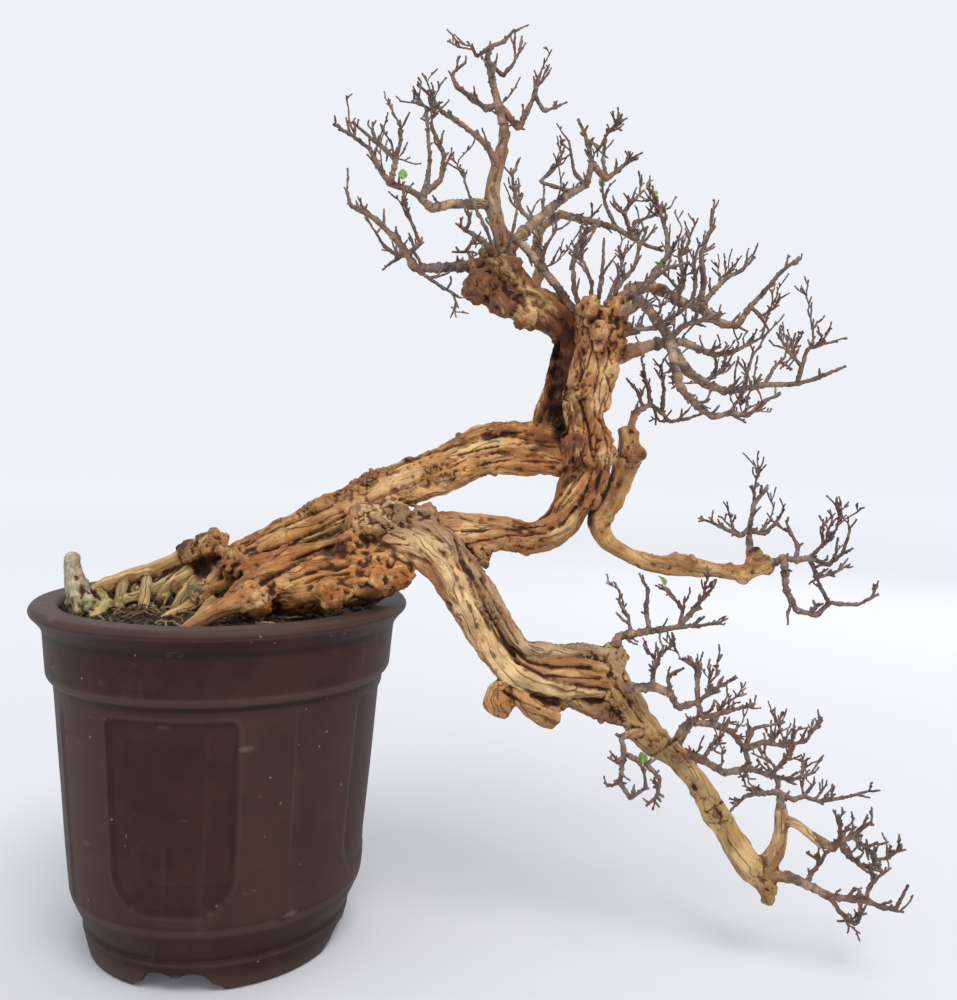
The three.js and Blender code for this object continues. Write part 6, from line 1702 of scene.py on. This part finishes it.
def cutArches(piece):      # cloud-shaped arches between the four feet
    half, high = pot["archHalf"], pot["archHeight"]
    lobes = [(-half * 0.36, high - 8.4, 11.0, 8.6), (half * 0.36, high - 8.4, 11.0, 8.6),
             (-half * 0.62, -1.0, 11.0, 6.6), (half * 0.62, -1.0, 11.0, 6.6), (0, 1.0, 14.0, 9.2)]
    for turn in (0, 90):
        for across, up, wide, tall in lobes:
            angle = math.radians(turn + pot["turn"])
            deselectAll()
            bpy.ops.mesh.primitive_cylinder_add(vertices=40, radius=0.001, depth=0.3,
                                                rotation=(math.pi / 2, 0, 0))
            cutter = bpy.context.object
            bpy.ops.object.transform_apply(location=False, rotation=True, scale=False)
            cutter.scale = (wide, 1, tall)
            cutter.rotation_euler = (0, 0, angle)
            cutter.location = toScene([across * math.cos(angle), across * math.sin(angle), up])
            bpy.ops.object.transform_apply(location=True, rotation=True, scale=True)
            finishWith(piece, "BOOLEAN", operation="DIFFERENCE", object=cutter, solver="EXACT")
            bpy.data.objects.remove(cutter)


# Soil, its crumbs and the net over the drain hole

soil = {"edge": 208.4, "middle": 214.2, "crumbs": 2300, "seed": 9, "rootlets": 84, "rim": 95, "steps": 150,
        "merge": 0.0011, "finest": 0.55, "coarser": 1.15, "spread": 97,
        "below": [(0.4, 26.2), (28, 26.2), (29, 24.6), (74, 24.6), (79, 30), (83, 50), (93.2, 172),
                  (97.4, 203)]}


def soilHeight(away):
    middle, edge = soil["middle"], soil["edge"]
    return np.interp(away, [0, 58, 94, 99], [middle, middle - 1.4, edge, edge - 0.6])


def buildSoil(finish):
    top = [(r, float(soilHeight(r))) for r in np.arange(96, 1.5, -1.6)]
    piece = turned("packed_soil", soil["below"] + top + [(0.4, soil["middle"])], soil["steps"])
    pick(piece)
    bpy.ops.object.mode_set(mode="EDIT")
    bpy.ops.mesh.select_all(action="SELECT")
    bpy.ops.mesh.remove_doubles(threshold=soil["merge"])
    bpy.ops.object.mode_set(mode="OBJECT")
    co = fromScene(places(piece))
    upper = ease(co[:, 2], 203, 208)
    lumps = 1.5 * layered(co / 9, 101, 3) + 0.7 * layered(co / 2.6, 102, 2)
    co[:, 2] += upper * lumps * ease(np.hypot(co[:, 0], co[:, 1]), 99, 92)
    move(piece, toScene(co))
    storeTone(piece, varied((64, 48, 38), 0.3, layered(co / 12, 103, 2)))
    dress(piece, ["soil"], finish)


def buildCrumbs(finish):
    chance = np.random.default_rng(soil["seed"])
    away = soil["spread"] * np.sqrt(chance.uniform(0, 1, soil["crumbs"]))
    turn = chance.uniform(0, 2 * math.pi, soil["crumbs"])
    size = soil["finest"] + soil["coarser"] * chance.uniform(0, 1, soil["crumbs"]) ** 2.2
    points = np.c_[away * np.cos(turn), away * np.sin(turn), soilHeight(away)]
    points[:, 2] += 1.2 * layered(points / 9, 101, 3) + 0.4 * size
    deselectAll()
    bpy.ops.mesh.primitive_ico_sphere_add(subdivisions=1, radius=1)
    ball = bpy.context.object
    pointsEach = len(ball.data.vertices)
    piece = scattered("soil_crumbs", ball, points, size, 17, 0.3)
    bpy.data.objects.remove(ball)
    kinds = np.array([(60, 44, 35), (44, 32, 26), (92, 72, 54), (34, 26, 22), (112, 94, 72)])
    tone = kinds[chance.choice(len(kinds), soil["crumbs"], p=[0.36, 0.3, 0.16, 0.14, 0.04])]
    storeTone(piece, np.repeat(tone, pointsEach, axis=0))
    dress(piece, [], finish)


def buildFibres(finish):      # short dry roots and stalks that lie on the soil
    chance = np.random.default_rng(23)
    tubes = newTubes("dry_rootlets", 6)
    for k in range(soil["rootlets"]):
        turn = math.radians(chance.uniform(150, 290)) if k % 3 else chance.uniform(0, 2 * math.pi)
        away = chance.uniform(35, 92)
        start = np.array([away * math.cos(turn), away * math.sin(turn), 0.0])
        heading = chance.uniform(0, 2 * math.pi)
        length, thick = chance.uniform(9, 26), chance.uniform(0.35, 1.25)
        path = []
        for n in range(7):
            point = start + np.array([math.cos(heading), math.sin(heading), 0]) * length * n / 6
            rim = math.hypot(point[0], point[1])
            if rim > soil["rim"]:
                point *= soil["rim"] / rim
            point[2] = float(soilHeight(min(rim, soil["rim"]))) + 1.3 + 1.2 * math.sin(n * 0.9 + k)
            path.append(point)
            heading += chance.uniform(-0.35, 0.35)
        addTube(tubes, np.array(path), thick * np.array([0.8, 1, 1.05, 1, 0.95, 0.8, 0.5]))
    piece = tubesToMesh(tubes)
    co = fromScene(places(piece))
    storeTone(piece, varied((126, 104, 74), 0.35, layered(co / 16, 105, 2)))
    dress(piece, [], finish)


# Leaves: one toothed blade is modelled, then copied to the twig ends that carry one

leafMarks = {
    "leaf_crown_right": (668, 206, 46),
    "leaf_crown_top": (648, 186, 42),
    "leaf_crown_middle": (604, 196, 62),
    "leaf_inner": (627, 271, 38),
    "leaf_left": (447, 180, -18),
    "leaf_elbow": (666, 586, -10),
    "leaf_tail": (652, 818, -66),
}
leaf = {"length": 7.4, "stalk": 2.2, "wide": 3.2, "fold": 0.32, "arch": 1.1, "thick": 0.3}


def buildLeaf(name, base, heading, finish):
    deselectAll()
    bpy.ops.mesh.primitive_grid_add(x_subdivisions=12, y_subdivisions=26, size=2)
    piece = bpy.context.object
    piece.name = "young_" + name
    flat = places(piece)
    across, along = flat[:, 0], (flat[:, 1] + 1) / 2
    outline = np.sin(math.pi * np.clip(along, 0, 1) ** 0.72) ** 0.8 * (1 - 0.35 * along)
    teeth = 1 + 0.10 * np.abs(np.sin(along * math.pi * 8)) * (np.abs(across) > 0.9)
    wide = leaf["wide"] * np.maximum(outline, 0.03) * teeth
    x, y = across * wide, along * leaf["length"]
    z = leaf["arch"] * np.sin(math.pi * along) + leaf["fold"] * np.abs(across) * wide * 0.6
    z += 0.12 * np.sin(along * 19 + across * 3)
    side = unit(np.cross(heading, [0, 0, 1.0]))
    up = unit(np.cross(side, heading))
    start = base + heading * leaf["stalk"]
    co = start + side * x[:, None] + heading * y[:, None] + up * z[:, None]
    move(piece, toScene(co))
    store(piece, "grain", "FLOAT_VECTOR", np.c_[across, along, along * 0])
    finishWith(piece, "SOLIDIFY", thickness=leaf["thick"] / 1000, offset=0)
    tubes = newTubes("leaf_stalk", 6)
    middle = base + heading * leaf["stalk"] * 0.5 + up * 0.2
    addTube(tubes, np.array([base, middle, start + heading * 0.6]), [0.42, 0.36, 0.3])
    stalk = tubesToMesh(tubes)
    pick(piece, stalk)
    bpy.ops.object.join()
    dress(piece, [name], finish)


def buildLeaves(grown):
    finish = leafLook()
    ends = [shoot["points"] for shoots in grown for shoot in shoots if len(shoot["points"]) <= 4]
    for name, mark in leafMarks.items():
        target = spot(*mark)
        end = min(ends, key=lambda points: np.linalg.norm(points[-1] - target))
        heading = unit(end[-1] - end[-2])
        buildLeaf(name, end[-1] + heading * 0.1, heading, finish)


# Floor, light and the last steps

studio = {"floor": (203, 204, 207), "haze": (206, 207, 210), "world": (239, 241, 246), "worldPower": 1.0,
          "key": 45.0, "fill": 3.0, "rim": 5.0, "middle": (0.0, 0.0, 0.35)}


def softLight(name, place, size, power, colour):
    deselectAll()
    bpy.ops.object.light_add(type="AREA", location=place)
    lamp = bpy.context.object
    lamp.name = name
    lamp.data.shape, lamp.data.size, lamp.data.energy, lamp.data.color = "DISK", size, power, colour
    gap = np.array(studio["middle"]) - place
    lamp.rotation_euler = (math.atan2(math.hypot(gap[0], gap[1]), -gap[2]), 0, math.atan2(-gap[0], gap[1]))


def buildStudio():
    deselectAll()
    bpy.ops.mesh.primitive_plane_add(size=60, location=(0, 0, 0))
    floor = bpy.context.object
    floor.name = "studio_floor"
    look = Look("pale_studio_floor", Roughness=0.95, IOR=1.2, Specular_IOR_Level=0.0, Emission_Strength=1.0)
    where = look.place()
    cloud = look.noise(where, 0.6, 2.0, 0.5)
    far = look.vector("LENGTH", where, (0.0, 0.0, 0.0), out=1)
    lift = 0.03 + (far.span(-0.2, 1.8) + far.span(0.5, 5.0)) * 0.155      # the floor ends as pale as the room
    glow = look.mix((0.0, 0.0, 0.0, 1.0), (1.0, 1.01, 1.06, 1.0), lift)
    colour = look.mix(paint(*studio["floor"]), paint(*studio["haze"]), cloud)
    floor.data.materials.append(look.feed(Base_Color=colour, Emission_Color=glow))
    world = bpy.data.worlds.new("studio_world")
    world.use_nodes = True
    back = world.node_tree.nodes["Background"]
    back.inputs["Color"].default_value = paint(*studio["world"])
    back.inputs["Strength"].default_value = studio["worldPower"]
    scene.world = world
    softLight("key_light", (0.55, -1.5, 2.6), 1.5, studio["key"], (1.0, 0.98, 0.95))
    softLight("fill_light", (-1.5, -0.8, 0.9), 1.6, studio["fill"], (0.94, 0.97, 1.0))
    softLight("back_light", (0.9, 1.3, 1.2), 1.2, studio["rim"], (1.0, 1.0, 1.0))
    scene.view_settings.view_transform = "Standard"


buildStudio()
lines = limbLines()
grown = growAll(lines)
print("twigs grown:", sum(len(shoots) for shoots in grown))
buildWood(lines)
twigFinish = twigLook()
for spray, shoots in zip(sprays, grown):
    buildSpray(spray, shoots, twigFinish)
buildLeaves(grown)
buildPot()
crumbFinish = pebbleLook()
buildSoil(earthLook())
buildCrumbs(crumbFinish)
buildFibres(crumbFinish)
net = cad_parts["drain_mesh"]
if net.material_slots:
    net.material_slots[0].material = netLook()
else:
    net.data.materials.append(netLook())
